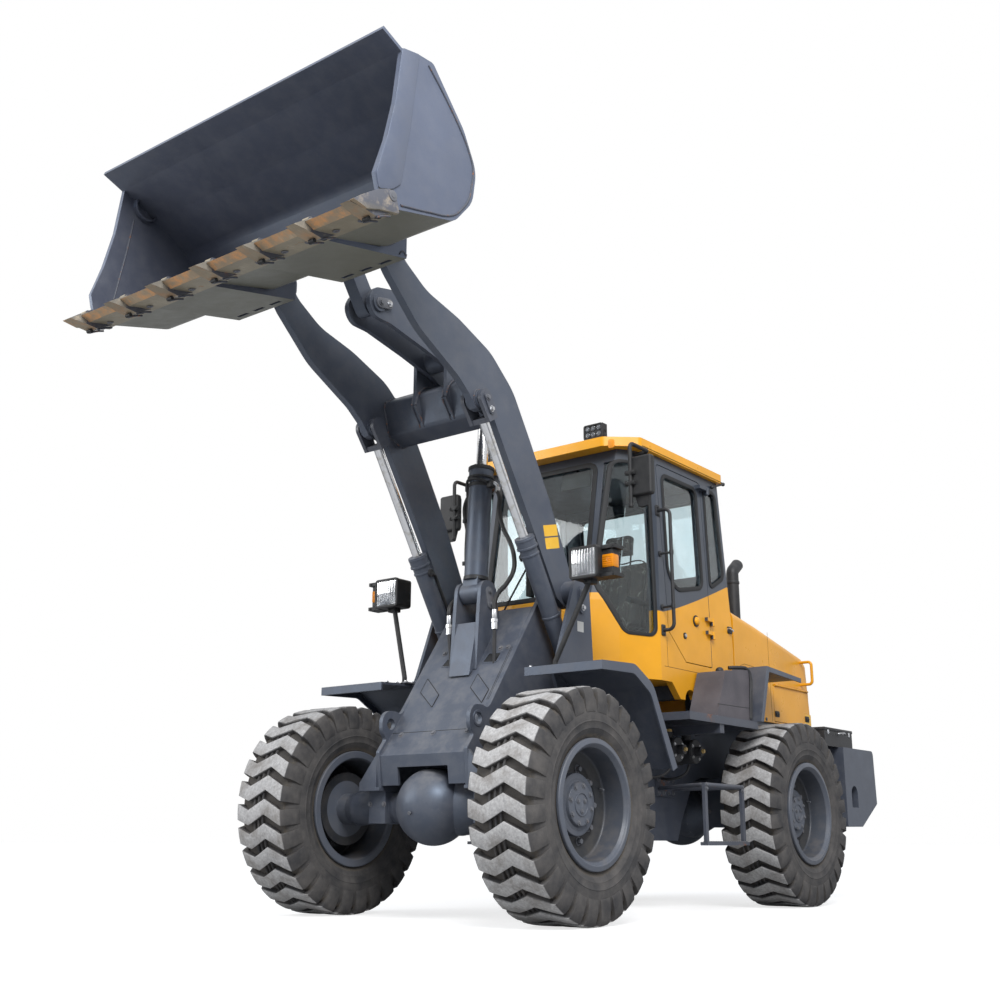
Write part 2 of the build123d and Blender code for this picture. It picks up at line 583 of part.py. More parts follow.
def rear_frame():
    skin = frame_plate / 2
    half = rear_frame_half
    side = plate(side_outline, half - skin, half + skin)
    shape = side + mirror(side, about=Plane.XZ)
    inner = half - skin
    window = block(frame_front_x - 30, frame_front_x + 10, 130, inner - 5, steer_level - 70, steer_level + 70)
    bulkhead = block(frame_front_x - 20, frame_front_x, -inner, inner, 470, 1330)
    shape += bulkhead - window - mirror(window, about=Plane.XZ)
    for x_from, x_to, z_from, z_to in ((-2640, -2600, 960, 1340), (-2900, -2800, 960, engine_feet),
                                       (-3600, -3500, 960, engine_feet), (-4000, -3960, 760, 1340),
                                       (-2300, -1780, 1160, 1180)):
        shape += block(x_from, x_to, -inner, inner, z_from, z_to)
    for level in hinge_levels:
        for low in (level - 25 - hinge_gap - 30, level + 25 + hinge_gap):
            lug = deck([(frame_front_x, 270), (hinge_x, hinge_eye_radius - 12), (hinge_x, -hinge_eye_radius + 12),
                        (frame_front_x, -270)], low, low + 30)
            shape += lug + bar_z(hinge_x, 0, hinge_eye_radius, low, low + 30)
        shape += bar_z(hinge_x, 0, hinge_pin_radius, level - 65, level + 65)
    upper = hinge_levels[1] + 65
    shape += block(frame_front_x - 20, frame_front_x, -280, 280, 1330, upper)
    for z_low in (steer_level - 62, steer_level + 36):
        ear = deck([(-1990, inner), (steer_base[0] + 42, steer_base[1] - 42, 40),
                    (steer_base[0] - 42, steer_base[1] - 42, 40), (-2110, inner)], z_low, z_low + 26)
        shape += ear + mirror(ear, about=Plane.XZ)
    pin = bar_z(*steer_base, 20, steer_level - 62, steer_level + 62)
    shape += pin + mirror(pin, about=Plane.XZ)
    top = block(-3690, -2600, inner, 708, 1340, hood_floor_level - fit)
    top += block(-4000, -3690, inner, 620, 1340, hood_floor_level - fit)
    shape += top + mirror(top, about=Plane.XZ)
    for x in (-2480, -1850):
        post = block(x, x + 80, inner, half + skin, 1150, 1450)
        post += block(x, x + 80, inner, 680, 1450, cab_floor_level - fit)
        shape += post + mirror(post, about=Plane.XZ)
    return shape


engine_top = 1900


def engine_block():
    return block(-3700, -2760, -300, 300, engine_feet + fit, engine_top)


hood_outline = [(-2600, hood_floor_level, 0), (-2600, 2215, 0), (-3040, 2144, 900), (-3870, 1985, 60),
                (-3945, 1925, 50), (-4000, hood_floor_level, 0)]
hood_door = (-3920, -3255, 1400, 1688)   # x from, x to, z from, z to


hood_handle_x = -3790
hood_handle_levels = (1742, 1930)
grille_half = 520
grille_levels = (hood_floor_level + 40, 1860)
stack_place = (-3380, 360)   # X and Y
stack_radius = 52


def hood_skin():
    """Sheet of the hood, open underneath."""
    body = plate(hood_outline, -hood_half, hood_half)
    top_edges = [e for e in body.edges() if abs(abs(e.center().Y) - hood_half) < 1
                 and e.center().Z > 1900 and abs(e.tangent_at(0.5).X) > 0.5]
    body = fillet(top_edges, 70)
    inside = plate([(-2630, hood_floor_level - 5), (-2630, 2180), (-3045, 2112, 900), (-3860, 1955, 60),
                    (-3915, 1905, 40), (-3968, hood_floor_level - 5)], -hood_half + hood_wall, hood_half - hood_wall)
    return body - inside


def bar_x(y, z, radius, x_from, x_to):
    """Round bar or hole along X."""
    return Pos((x_from + x_to) / 2, y, z) * Rot(0, 90, 0) * Cylinder(radius, x_to - x_from)


hood_hinge = (hood_half + 5, 1692)   # Y and Z of the side doors' hinge pins
knuckle_radius = 9
knuckle_ends = ((hood_door[0] + 20, hood_door[0] + 70), (hood_door[1] - 70, hood_door[1] - 20))


def hood():
    x0, x1, z0, z1 = hood_door
    shape = hood_skin() - block(x0 - 5, x1 + 5, -hood_half - 5, hood_half + 5, z0 - 5, z1 + 5)
    shape -= block(-4100, -3850, -grille_half, grille_half, *grille_levels)
    shape -= bar_z(*stack_place, stack_radius + fit, 1950, 2200)
    middle = bar_x(*hood_hinge, knuckle_radius + 4, knuckle_ends[0][1], knuckle_ends[1][0])
    knuckles = [bar_x(*hood_hinge, knuckle_radius, low, high) for low, high in knuckle_ends]
    pin_hole = bar_x(*hood_hinge, 4 + fit, x0, x1)
    stand, (low, high) = hood_half + 105, hood_handle_levels
    handle = pipe([(hood_handle_x, hood_half - 8, high), (hood_handle_x, stand, high),
                   (hood_handle_x, stand, low), (hood_handle_x, hood_half - 8, low)], 12, 30)
    for half in (lambda item: item, lambda item: mirror(item, about=Plane.XZ)):
        shape -= half(middle)
        for knuckle in knuckles:
            shape += half(knuckle)
        shape -= half(pin_hole)
        shape += half(handle)
    return shape


def hood_door_panel(side):
    """Side door with the middle knuckle of its hinge and the pin through all three."""
    x0, x1, z0, z1 = hood_door
    panel = block(x0, x1, hood_half - hood_wall, hood_half, z0, z1)
    for low, high in knuckle_ends:
        panel -= bar_x(*hood_hinge, knuckle_radius + 4, low - 4, high + 4)
    panel += bar_x(*hood_hinge, knuckle_radius, knuckle_ends[0][1] + 2, knuckle_ends[1][0] - 2)
    panel += bar_x(*hood_hinge, 4, knuckle_ends[0][0], knuckle_ends[1][1])
    return panel if side > 0 else mirror(panel, about=Plane.XZ)


def rear_grille():
    """Louvred panel that fills the opening in the back of the hood."""
    low, high = grille_levels
    panel = hood_skin() & block(-4100, -3850, -grille_half + fit, grille_half - fit, low + fit, high - fit)
    for z in range(low + 50, high - 60, 46):
        panel -= block(-4100, -3850, -grille_half + 60, grille_half - 60, z, z + 26)
    return panel


def counterweight():
    body = plate([(-3970, 586, 0), (-4275, 586, 0), (-4628, 780, 0), (-4612, 1225, 40), (-3970, 1225, 0)],
                 -counterweight_half, counterweight_half)
    hole = block(-4215, -4085, -counterweight_half - 5, counterweight_half + 5, 740, 850)
    hole += bar_y(-4150, 850, 65, -counterweight_half - 5, counterweight_half + 5)
    keep = block(-4700, -3900, -counterweight_half + 160, counterweight_half - 160, 500, 1300)
    body = body - (hole - keep)
    body -= block(-4000 - fit, -3900, -rear_frame_half - frame_plate / 2 - fit,
                  rear_frame_half + frame_plate / 2 + fit, 500, 1300)
    body -= block(-4700, -4420, -190, 190, 560, tow_pin[2])
    body -= bar_z(tow_pin[0], 0, tow_pin[1], tow_pin[2] - 5, 1230)
    return body


def battery_boxes():
    return both_sides(block(-4270, -3700, 640, 960, 1225 + fit, 1370))


def rear_fenders():
    outer = 1045
    foot = step_level + fit
    sheet = plate([(-2385, foot), (-2397, foot), (-2535, 1728), (-3120, 1694), (-3120, 1706), (-2525, 1741)],
                  cab_half + fit, outer)
    lip = plate([(-2385, foot), (-2425, foot), (-2558, 1700), (-3120, 1672), (-3120, 1706), (-2525, 1741)],
                outer - 10, outer)
    return both_sides(sheet + lip)


def side_boxes():
    foot = step_level + fit
    body = plate([(-1785, foot, 0), (-2290, foot, 0), (-2312, 1690, 30), (-1940, 1650, 30)], cab_half + 16, 1000)
    return both_sides(body)


def steps():
    """Platform under each door and the hanging step below it."""
    root = rear_frame_half + frame_plate / 2 + fit
    back, front = rear_tyre_front - 160, hinge_x + 75
    middle = (front + back) / 2
    plan = [(back, root), (back, 1010), (front, 1010), (front + 5, 600), (front - 95, root)]
    tread = deck(plan, step_level - 54, step_level)
    tread -= deck([(back + 12, root + 12), (back + 12, 998), (front - 12, 998), (front - 7, 604),
                   (front - 102, root + 12)], step_level - 60, step_level - 12)
    bracket = block(middle + 10, middle + 70, root, 1000, 1200, 1262)
    bar = pipe([(middle - 10, root + 11, 836), (middle + 330, 1000, 836), (middle - 205, 1000, 836),
                (middle - 205, root, 836)], 16, 30)
    hanger = block(middle + 315, middle + 350, 990, 1012, 455, 850)
    hanger += block(middle - 222, middle - 187, 990, 1012, 455, 850)
    rung = block(middle - 240, middle + 370, 975, 1030, 440, 462)
    flange = block(middle - 230, middle + 30, root, root + 14, 780, 920)
    return both_sides(tread + bracket + bar + hanger + rung + flange)


def brake_boosters():
    cans = None
    for x in (hinge_x - 265, hinge_x - 520):
        can = bar_y(x, 1090, 84, 475, 720) + bar_y(x, 1090, 92, 560, 590)
        can += bar_y(x, 1090, 34, 720, 770) + bar_z(x, 640, 34, 1170, 1215)
        can += block(x - 65, x + 20, rear_frame_half + frame_plate / 2 + fit, 480, 1060, 1120)
        cans = can if cans is None else cans + can
    return both_sides(cans)


def exhaust_stack():
    x, y = stack_place
    return pipe([(x, y, hood_floor_level + 200), (x, y, 2700), (x - 100, y, 2775)], stack_radius, 50)


# ---- cab ----------------------------------------------------------------------------
cab_sections = [
    # level, front x, front corner half width, side corner x, side corner half width,
    # post x, side half width, rear x
    (cab_floor_level, -985, 470, -1120, 625, -1460, cab_half, -2555),
    (cab_belt_level, -985, 480, -1120, 635, -1460, cab_half, -2545),
    (cab_roof_level, -1185, 600, -1270, 665, -1490, cab_roof_half, -2440),
]


def cab_body(inset):
    """Cab volume between its sections, moved inwards by the inset."""
    faces = []
    for level, front, corner, side_x, side_half, post, half, rear in cab_sections:
        left = [(front, corner), (side_x, side_half), (post, half), (rear, half)]
        right = [(x, -y) for x, y in reversed(left)]
        wire = Polyline(*[(x, y, level) for x, y in left + right], close=True)
        face = Face(wire.wire())
        faces.append(offset(face, amount=-inset, kind=Kind.INTERSECTION) if inset else face)
    lower = loft(faces[:2], ruled=True)
    upper = loft(faces[1:], ruled=True)
    return lower + upper


door_outline = [
    # x, z, corner radius
    (-1500, 3135, 30), (-1578, 1915, 20), (-1815, 1716, 20), (-2200, 1716, 10), (-2190, 2230, 0), (-2150, 3135, 40),
]
door_window = [(-1578, 3070, 60), (-1600, 2340, 60), (-1720, 2230, 60), (-2105, 2310, 60), (-2080, 3070, 60)]
quarter_window = [(-2215, 3100, 40), (-2235, 2330, 40), (-2450, 2440, 40), (-2385, 3100, 40)]
seam = 6


def grow(points, amount, y):
    return offset(outline(points, y), amount=amount, kind=Kind.INTERSECTION)


def window_cuts():
    """Prisms that cut the windscreen, the corner panes, the side and rear windows."""
    side = plate(quarter_window, 600, 900)
    side += mirror(side, about=Plane.XZ)
    screen = block(-1400, -900, -430, 430, 1860, 3110)
    corner = plate([(-1015, 2200, 0), (-1015, 2190, 0), (-1150, 1860, 60), (-1420, 1860, 40), (-1420, 3110, 40),
                    (-1150, 3110, 0)], 500, 900)
    rear = block(-2700, -2300, -560, 560, 2480, 3080)
    return [side, screen, corner + mirror(corner, about=Plane.XZ), rear]


door_hinge = (-2205, cab_half + 20)  # X and Y of the door's hinge line
door_hinge_levels = (1925, 2025, 3050)
hinge_pin = 8


def wall_level(z):
    """Half width of the cab's side wall at a height above the belt line."""
    slope = (cab_half - cab_roof_half) / (cab_roof_level - cab_belt_level)
    return cab_half - slope * max(0, z - cab_belt_level)


def hinge_knuckles():
    """Eyes on the cab's left wall that the door's hinge pins turn in."""
    x, y = door_hinge
    eyes = None
    for z in door_hinge_levels:
        eye = bar_z(x, y, hinge_pin + 7, z, z + 30) + block(x - 13, x + 1, wall_level(z) - 8, y, z, z + 30)
        eye -= bar_z(x, y, hinge_pin + fit, z - 1, z + 31)
        eyes = eye if eyes is None else eyes + eye
    return eyes


def hinge_leaves():
    """Pins and leaves carried by the left door, each above its eye."""
    x, y = door_hinge
    leaves = None
    for z in door_hinge_levels:
        edge = -2200 + (z - 1716) * 0.035
        leaf = bar_z(x, y, hinge_pin, z, z + 58) + bar_z(x, y, hinge_pin + 6, z + 30 + fit, z + 58)
        leaf += block(x, edge + 70, wall_level(z) + 3, y + 6, z + 30 + fit, z + 58)
        leaf += block(edge + 20, edge + 70, wall_level(z) - 8, wall_level(z) + 5, z + 30 + fit, z + 58)
        leaves = leaf if leaves is None else leaves + leaf
    return leaves


def cab_shell():
    outer, inner = cab_body(0), cab_body(cab_wall)
    room = inner & block(-3000, -800, -900, 900, cab_floor_level + 60, cab_roof_level - 40)
    shape = outer - room
    opening = extrude(grow(door_outline, seam, 500), amount=500, dir=(0, 1, 0))
    shape -= opening + mirror(opening, about=Plane.XZ)
    for cut in window_cuts():
        shape -= cut
    skirt = plate([(-1600, 1552), (-1715, 1440), (-2545, 1440), (-2552, 1552)], cab_half - cab_wall, cab_half)
    skirt -= bar_y(-1860, 1440, 78, 600, 900)
    shape += skirt + mirror(skirt, about=Plane.XZ)
    return shape + hinge_knuckles() + mirror(hinge_knuckles(), about=Plane.XZ)


def cab_glass():
    """Panes set in the cab's fixed windows, just inside its outer faces."""
    skin = cab_body(12) - cab_body(12 + glass_thickness)
    panes = None
    for cut in window_cuts():
        pane = skin & cut
        panes = pane if panes is None else panes + pane
    return panes


def cab_roof():
    plan = [(-1060, -560, 60), (-1240, -770, 40), (-2500, -770, 60), (-2500, 770, 60), (-1240, 770, 40),
            (-1060, 560, 60)]
    return deck(plan, cab_roof_level + fit, cab_roof_level + cab_roof_thickness)


def door_slab():
    return cab_body(0) - cab_body(cab_wall)


def cab_door(side):
    slab = door_slab() & plate(door_outline, 500, 1000)
    slab -= plate(door_window, 500, 1000)
    slab += hinge_leaves()
    return slab if side > 0 else mirror(slab, about=Plane.XZ)


def door_glass(side):
    pane = (cab_body(16) - cab_body(16 + glass_thickness)) & plate(door_window, 500, 1000)
    return pane if side > 0 else mirror(pane, about=Plane.XZ)


def seat():
    base = block(-2120, -1800, -200, 200, cab_floor_level + 60 + fit, 1900)
    cushion = fillet(block(-2200, -1700, -250, 250, 1900, 2030).edges(), 40)
    back = plate([(-2180, 2010, 40), (-2060, 2010, 40), (-2160, 2620, 40), (-2280, 2620, 40)], -240, 240)
    head = plate([(-2190, 2640, 30), (-2280, 2640, 30), (-2310, 2820, 30), (-2220, 2820, 30)], -130, 130)
    neck = plate([(-2205, 2600), (-2255, 2600), (-2265, 2660), (-2215, 2660)], -60, 60)
    return base + cushion + back + head + neck


def steering_console():
    foot = cab_floor_level + 60 + fit
    column = plate([(-1260, foot, 0), (-1420, foot, 0), (-1420, 2140, 60), (-1330, 2240, 40), (-1260, 2180, 40)],
                   -110, 110)
    wheel = Pos(-1480, 0, 2330) * Rot(0, -32, 0) * Torus(190, 16)
    spoke = Pos(-1480, 0, 2330) * Rot(0, -32, 0) * Box(380, 40, 14)
    post = Pos(-1430, 0, 2255) * Rot(0, -32, 0) * Cylinder(26, 190)
    return column + wheel + spoke + post


def grab_rails():
    high, low = 2780, 1905
    root = cab_half - (cab_half - cab_roof_half) * (high - cab_belt_level) / (cab_roof_level - cab_belt_level)
    stand = cab_half + 90
    rail = pipe([(-1492, root + 0.8, high), (-1492, stand, high), (-1500, stand, low),
                 (-1500, cab_half + fit, low)], 13, 45)
    return both_sides(rail)


def mirrors():
    stand = cab_half + 45
    case = fillet(block(-1110, -1050, stand - 20, stand + 160, 2780, 3070).edges(), 20)
    arm = pipe([(-1300, cab_half - 75, 3170), (-1300, stand, 3170), (-1040, stand, 3170),
                (-1040, stand, 2711)], 14, 40)
    case += block(-1056, -1036, stand - 10, stand + 10, 2880, 2960)
    return both_sides(case + arm)


def roof_lamps():
    top = cab_roof_level + cab_roof_thickness + fit
    lamp = block(-1150, -1090, 385, 545, top + 8, top + 118) + block(-1135, -1110, 450, 480, top, top + 12)
    return both_sides(lamp)


# ---- assembly -----------------------------------------------------------------------
def place(shape, x, side):
    return Pos(x, side * track / 2, tyre_radius) * shape


def build():
    nodes = {}
    for end, x in (("front", 0), ("rear", -wheelbase)):
        for name, side in (("left", 1), ("right", -1)):
            nodes[f"tyre_{end}_{name}"] = place(tyre(), x, side)
            nodes[f"rim_{end}_{name}"] = place(rim(side), x, side)
    for name, side in (("left", 1), ("right", -1)):
        nodes[f"lift_barrel_{name}"] = lift_barrel(side)
        nodes[f"lift_rod_{name}"] = lift_rod(side)
        nodes[f"steer_barrel_{name}"] = steer_barrel(side)
        nodes[f"steer_rod_{name}"] = steer_rod(side)
        nodes[f"cab_door_{name}"] = cab_door(side)
        nodes[f"door_glass_{name}"] = door_glass(side)
        nodes[f"hood_door_{name}"] = hood_door_panel(side)
    nodes["tilt_barrel"] = tilt_barrel()
    nodes["tilt_rod"] = tilt_rod()
    nodes["boom"] = boom()
    nodes["bellcrank"] = bellcrank()
    nodes["bucket_link"] = bucket_link()
    nodes["bucket"] = bucket()
    nodes["bucket_edge"] = bucket_edge()
    nodes["front_frame"] = front_frame()
    nodes["front_axle"] = axle(0, ball_offset, 770)
    nodes["front_fenders"] = front_fenders()
    nodes["headlamps"] = headlamps()
    nodes["rear_frame"] = rear_frame()
    nodes["rear_axle"] = axle(-wheelbase, -ball_offset, rear_arch)
    nodes["engine_block"] = engine_block()
    nodes["hood"] = hood()
    nodes["rear_grille"] = rear_grille()
    nodes["counterweight"] = counterweight()
    nodes["battery_boxes"] = battery_boxes()
    nodes["rear_fenders"] = rear_fenders()
    nodes["side_boxes"] = side_boxes()
    nodes["steps"] = steps()
    nodes["brake_boosters"] = brake_boosters()
    nodes["exhaust_stack"] = exhaust_stack()
    nodes["cab_shell"] = cab_shell()
    nodes["cab_glass"] = cab_glass()
    nodes["cab_roof"] = cab_roof()
    nodes["seat"] = seat()
    nodes["steering_console"] = steering_console()
    nodes["grab_rails"] = grab_rails()
    nodes["mirrors"] = mirrors()
    nodes["roof_lamps"] = roof_lamps()
    return nodes


nodes = build()
boxes = [shape.bounding_box() for shape in nodes.values()]
middle_x = (min(b.min.X for b in boxes) + max(b.max.X for b in boxes)) / 2
os.makedirs("parts", exist_ok=True)
for name, shape in nodes.items():
    export_step(Pos(-middle_x, 0, 0) * shape, f"parts/{name}.step")
print(f"origin {middle_x:.3f} mm ahead of the front axle, {len(nodes)} nodes")
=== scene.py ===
import math
import bmesh
import bpy
from mathutils import Matrix, Vector


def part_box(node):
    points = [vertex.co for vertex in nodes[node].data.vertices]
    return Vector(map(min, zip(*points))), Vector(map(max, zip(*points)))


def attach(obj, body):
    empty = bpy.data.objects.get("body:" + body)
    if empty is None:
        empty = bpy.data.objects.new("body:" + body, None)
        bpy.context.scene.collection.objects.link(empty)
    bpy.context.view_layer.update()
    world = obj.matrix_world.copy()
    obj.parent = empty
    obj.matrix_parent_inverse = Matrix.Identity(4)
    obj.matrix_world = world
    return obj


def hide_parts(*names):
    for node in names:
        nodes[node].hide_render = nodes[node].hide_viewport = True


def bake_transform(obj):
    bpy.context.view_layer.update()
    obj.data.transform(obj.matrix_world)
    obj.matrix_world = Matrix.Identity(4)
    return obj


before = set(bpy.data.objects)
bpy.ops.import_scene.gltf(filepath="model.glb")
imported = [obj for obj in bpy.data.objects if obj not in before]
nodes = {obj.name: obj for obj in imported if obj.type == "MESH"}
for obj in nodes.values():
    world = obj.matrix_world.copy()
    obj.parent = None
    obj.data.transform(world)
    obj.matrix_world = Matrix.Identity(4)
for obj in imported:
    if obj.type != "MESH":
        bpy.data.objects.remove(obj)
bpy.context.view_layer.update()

print("frame loaded:", len(nodes), "CAD nodes")


def middle(node):
    low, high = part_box(node)
    return (low + high) / 2


frontAxle = middle("tyre_front_left")
frontAxle.y = 0


def spot(x, y, z):
    # millimetres ahead of the front axle, left of the middle, above the ground
    return Vector((frontAxle.x + x / 1000, y / 1000, z / 1000))


def rgb(r, g, b):
    # an sRGB colour of 0 to 255 as the linear values that nodes want
    channels = [c / 255 for c in (r, g, b)]
    return tuple(c / 12.92 if c <= 0.04045 else ((c + 0.055) / 1.055) ** 2.4 for c in channels) + (1.0,)


def newPiece(name, bm, material, body, smooth=True, sharpAngle=35):
    mesh = bpy.data.meshes.new(name)
    bmesh.ops.remove_doubles(bm, verts=bm.verts, dist=0.00002)
    bmesh.ops.recalc_face_normals(bm, faces=bm.faces)
    for edge in bm.edges:
        edge.smooth = len(edge.link_faces) == 2 and edge.calc_face_angle(0) < math.radians(sharpAngle)
    for face in bm.faces:
        face.smooth = smooth
    bm.to_mesh(mesh)
    bm.free()
    piece = bpy.data.objects.new(name, mesh)
    bpy.context.scene.collection.objects.link(piece)
    mesh.materials.append(material)
    if body:
        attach(piece, body)
    return piece


def bevelEdges(bm, edges, width, segments=2):
    bmesh.ops.bevel(bm, geom=edges, offset=width, offset_type="OFFSET", segments=segments, profile=0.5,
                    affect="EDGES", material=-1, clamp_overlap=True)


def sharpEdges(bm, faces=None, angle=40):
    pool = bm.edges if faces is None else {e for f in faces for e in f.edges}
    return [e for e in pool if len(e.link_faces) == 2 and e.calc_face_angle(0) > math.radians(angle)]


def axisTurn(axis):
    # turn that takes the Z axis to the given one
    return Vector((0, 0, 1)).rotation_difference(Vector(axis)).to_matrix().to_4x4()


def addRound(bm, start, end, radius, radiusEnd=None, segments=20, bevel=0):
    # a solid round bar from start to end
    start, end = Vector(start), Vector(end)
    line = end - start
    place = Matrix.Translation((start + end) / 2) @ axisTurn(line)
    made = bmesh.ops.create_cone(bm, cap_ends=True, segments=segments, radius1=radius,
                                 radius2=radius if radiusEnd is None else radiusEnd, depth=line.length,
                                 matrix=place)
    if bevel:
        faces = {f for v in made["verts"] for f in v.link_faces}
        bevelEdges(bm, sharpEdges(bm, faces, 60), bevel)
    return made["verts"]


def addBlock(bm, low, high, bevel=0.003, turn=None):
    low, high = Vector(low), Vector(high)
    size = high - low
    place = Matrix.Translation((low + high) / 2)
    if turn is not None:
        place = place @ turn
    made = bmesh.ops.create_cube(bm, size=1, matrix=place @ Matrix.Diagonal((*size, 1)))
    if bevel:
        faces = {f for v in made["verts"] for f in v.link_faces}
        bevelEdges(bm, sharpEdges(bm, faces), bevel)
    return made["verts"]


def addTurned(bm, profile, centre, steps=64):
    # rows of (distance along Y, radius) spun about a Y axis through centre
    verts = [bm.verts.new(Vector(centre) + Vector((0, y, r))) for y, r in profile]
    edges = [bm.edges.new(pair) for pair in zip(verts, verts[1:])]
    bmesh.ops.spin(bm, geom=verts + edges, cent=Vector(centre), axis=(0, 1, 0), dvec=(0, 0, 0),
                   angle=math.tau, steps=steps, use_merge=True, use_duplicate=False)


def addRing(bm, start, end, inner, outer, steps=40):
    # open collar round a bar
    start, end = Vector(start), Vector(end)
    length, soft = (end - start).length, 0.0025
    profile = [(inner, 0), (outer - soft, 0), (outer, soft), (outer, length - soft), (outer - soft, length),
               (inner, length)]
    old = set(bm.verts)
    verts = [bm.verts.new((r, 0, z)) for r, z in profile]
    edges = [bm.edges.new(pair) for pair in zip(verts, verts[1:])]
    bmesh.ops.spin(bm, geom=verts + edges, cent=(0, 0, 0), axis=(0, 0, 1), dvec=(0, 0, 0), angle=math.tau,
                   steps=steps, use_merge=True, use_duplicate=False)
    added = [v for v in bm.verts if v not in old]
    bmesh.ops.transform(bm, matrix=Matrix.Translation(start) @ axisTurn(end - start), verts=added)


def addBolt(bm, at, axis, across=0.024, height=0.014, washer=True):
    # hexagon head on a washer, standing up along axis
    at, axis = Vector(at), Vector(axis).normalized()
    if washer:
        addRound(bm, at - axis * 0.002, at + axis * 0.003, across * 0.82, segments=18)
    addRound(bm, at, at + axis * height, across * 0.56, across * 0.5, segments=6)


print("helpers ready")


def put(tree, kind, **settings):
    node = tree.nodes.new(kind)
    for key, value in settings.items():
        if key in node.inputs:
            node.inputs[key].default_value = value
        else:
            setattr(node, key, value)
    return node


def join(tree, *pairs):
    for source, target in pairs:
        tree.links.new(source, target)


def newGroup(name, inputs, outputs):
    tree = bpy.data.node_groups.new(name, "ShaderNodeTree")
    for label, kind, value in inputs:
        socket = tree.interface.new_socket(name=label, in_out="INPUT", socket_type="NodeSocket" + kind)
        if value is not None:
            socket.default_value = value
    for label, kind in outputs:
        tree.interface.new_socket(name=label, in_out="OUTPUT", socket_type="NodeSocket" + kind)
    return tree, tree.nodes.new("NodeGroupInput").outputs, tree.nodes.new("NodeGroupOutput").inputs


def noise(tree, vector, scale, detail=4, rough=0.55):
    node = put(tree, "ShaderNodeTexNoise", Scale=scale, Detail=detail, Roughness=rough)
    join(tree, (vector, node.inputs["Vector"]))
    return node.outputs["Fac"]


def remap(tree, value, low, high, toLow=0.0, toHigh=1.0):
    node = put(tree, "ShaderNodeMapRange")
    for key, number in zip(("From Min", "From Max", "To Min", "To Max"), (low, high, toLow, toHigh)):
        node.inputs[key].default_value = number
    join(tree, (value, node.inputs["Value"]))
    return node.outputs["Result"]


def calc(tree, operation, first, second=None, clamp=False):
    node = put(tree, "ShaderNodeMath", operation=operation, use_clamp=clamp)
    for slot, item in enumerate((first, second)):
        if item is None:
            continue
        if isinstance(item, (int, float)):
            node.inputs[slot].default_value = item
        else:
            join(tree, (item, node.inputs[slot]))
    return node.outputs[0]


def blendColor(tree, factor, first, second, mode="MIX"):
    node = put(tree, "ShaderNodeMix", data_type="RGBA", blend_type=mode)
    for slot, item in ((0, factor), (6, first), (7, second)):
        if isinstance(item, (int, float, tuple)):
            node.inputs[slot].default_value = item
        else:
            join(tree, (item, node.inputs[slot]))
    return node.outputs[2]


def makeWeather():
    # paint with slow shade changes, dust on what faces up, fine specks and orange peel
    tree, given, result = newGroup("weatheredPaint", [
        ("Vector", "Vector", None), ("Facing", "Vector", None), ("Paint", "Color", (0.1, 0.1, 0.1, 1)),
        ("Dust", "Color", (0.4, 0.38, 0.35, 1)), ("Dustiness", "Float", 0.3), ("Gloss", "Float", 0.4),
    ], [("Color", "Color"), ("Roughness", "Float"), ("Height", "Float")])
    spread = noise(tree, given["Vector"], 1.7, 5)
    stain = noise(tree, given["Vector"], 9.0, 6, 0.65)
    speck = noise(tree, given["Vector"], 95.0, 3, 0.7)
    peel = noise(tree, given["Vector"], 420.0, 2)
    facing = put(tree, "ShaderNodeSeparateXYZ")
    join(tree, (given["Facing"], facing.inputs[0]))
    upward = remap(tree, facing.outputs["Z"], 0.15, 1.0)
    dust = calc(tree, "MULTIPLY", remap(tree, stain, 0.42, 0.72), calc(tree, "ADD", upward, 0.35))
    dust = calc(tree, "ADD", dust, remap(tree, speck, 0.63, 0.74, 0.0, 0.5))
    dust = calc(tree, "MULTIPLY", dust, given["Dustiness"], True)
    shade = blendColor(tree, 1.0, given["Paint"], remap(tree, spread, 0.3, 0.7, 0.86, 1.1), "MULTIPLY")
    join(tree, (blendColor(tree, dust, shade, given["Dust"]), result["Color"]))
    rough = calc(tree, "ADD", given["Gloss"], calc(tree, "MULTIPLY", dust, 0.5))
    join(tree, (calc(tree, "ADD", rough, remap(tree, stain, 0.3, 0.7, -0.05, 0.08)), result["Roughness"]))
    join(tree, (calc(tree, "ADD", calc(tree, "MULTIPLY", peel, 0.35), calc(tree, "MULTIPLY", dust, 0.6)),
                result["Height"]))
    return tree


def makeScratches():
    # long fine scratches and rubbed patches of worn steel
    tree, given, result = newGroup("scratchedSteel", [
        ("Vector", "Vector", None), ("Stretch", "Vector", (1, 1, 1)),
        ("Base", "Color", (0.05, 0.05, 0.05, 1)),
        ("Rubbed", "Color", (0.3, 0.3, 0.3, 1)), ("Amount", "Float", 0.5),
    ], [("Color", "Color"), ("Mask", "Float"), ("Height", "Float")])
    scaled = put(tree, "ShaderNodeVectorMath", operation="MULTIPLY")
    join(tree, (given["Vector"], scaled.inputs[0]), (given["Stretch"], scaled.inputs[1]))
    streak = noise(tree, scaled.outputs[0], 14.0, 8, 0.7)
    patch = noise(tree, given["Vector"], 3.2, 5, 0.6)
    mask = calc(tree, "MULTIPLY", remap(tree, streak, 0.52, 0.68), remap(tree, patch, 0.38, 0.62))
    mask = calc(tree, "MULTIPLY", mask, given["Amount"], True)
    cloudy = blendColor(tree, 1.0, given["Base"], remap(tree, patch, 0.3, 0.7, 0.8, 1.25), "MULTIPLY")
    join(tree, (blendColor(tree, mask, cloudy, given["Rubbed"]), result["Color"]), (mask, result["Mask"]),
         (streak, result["Height"]))
    return tree


weather = makeWeather()
scratches = makeScratches()


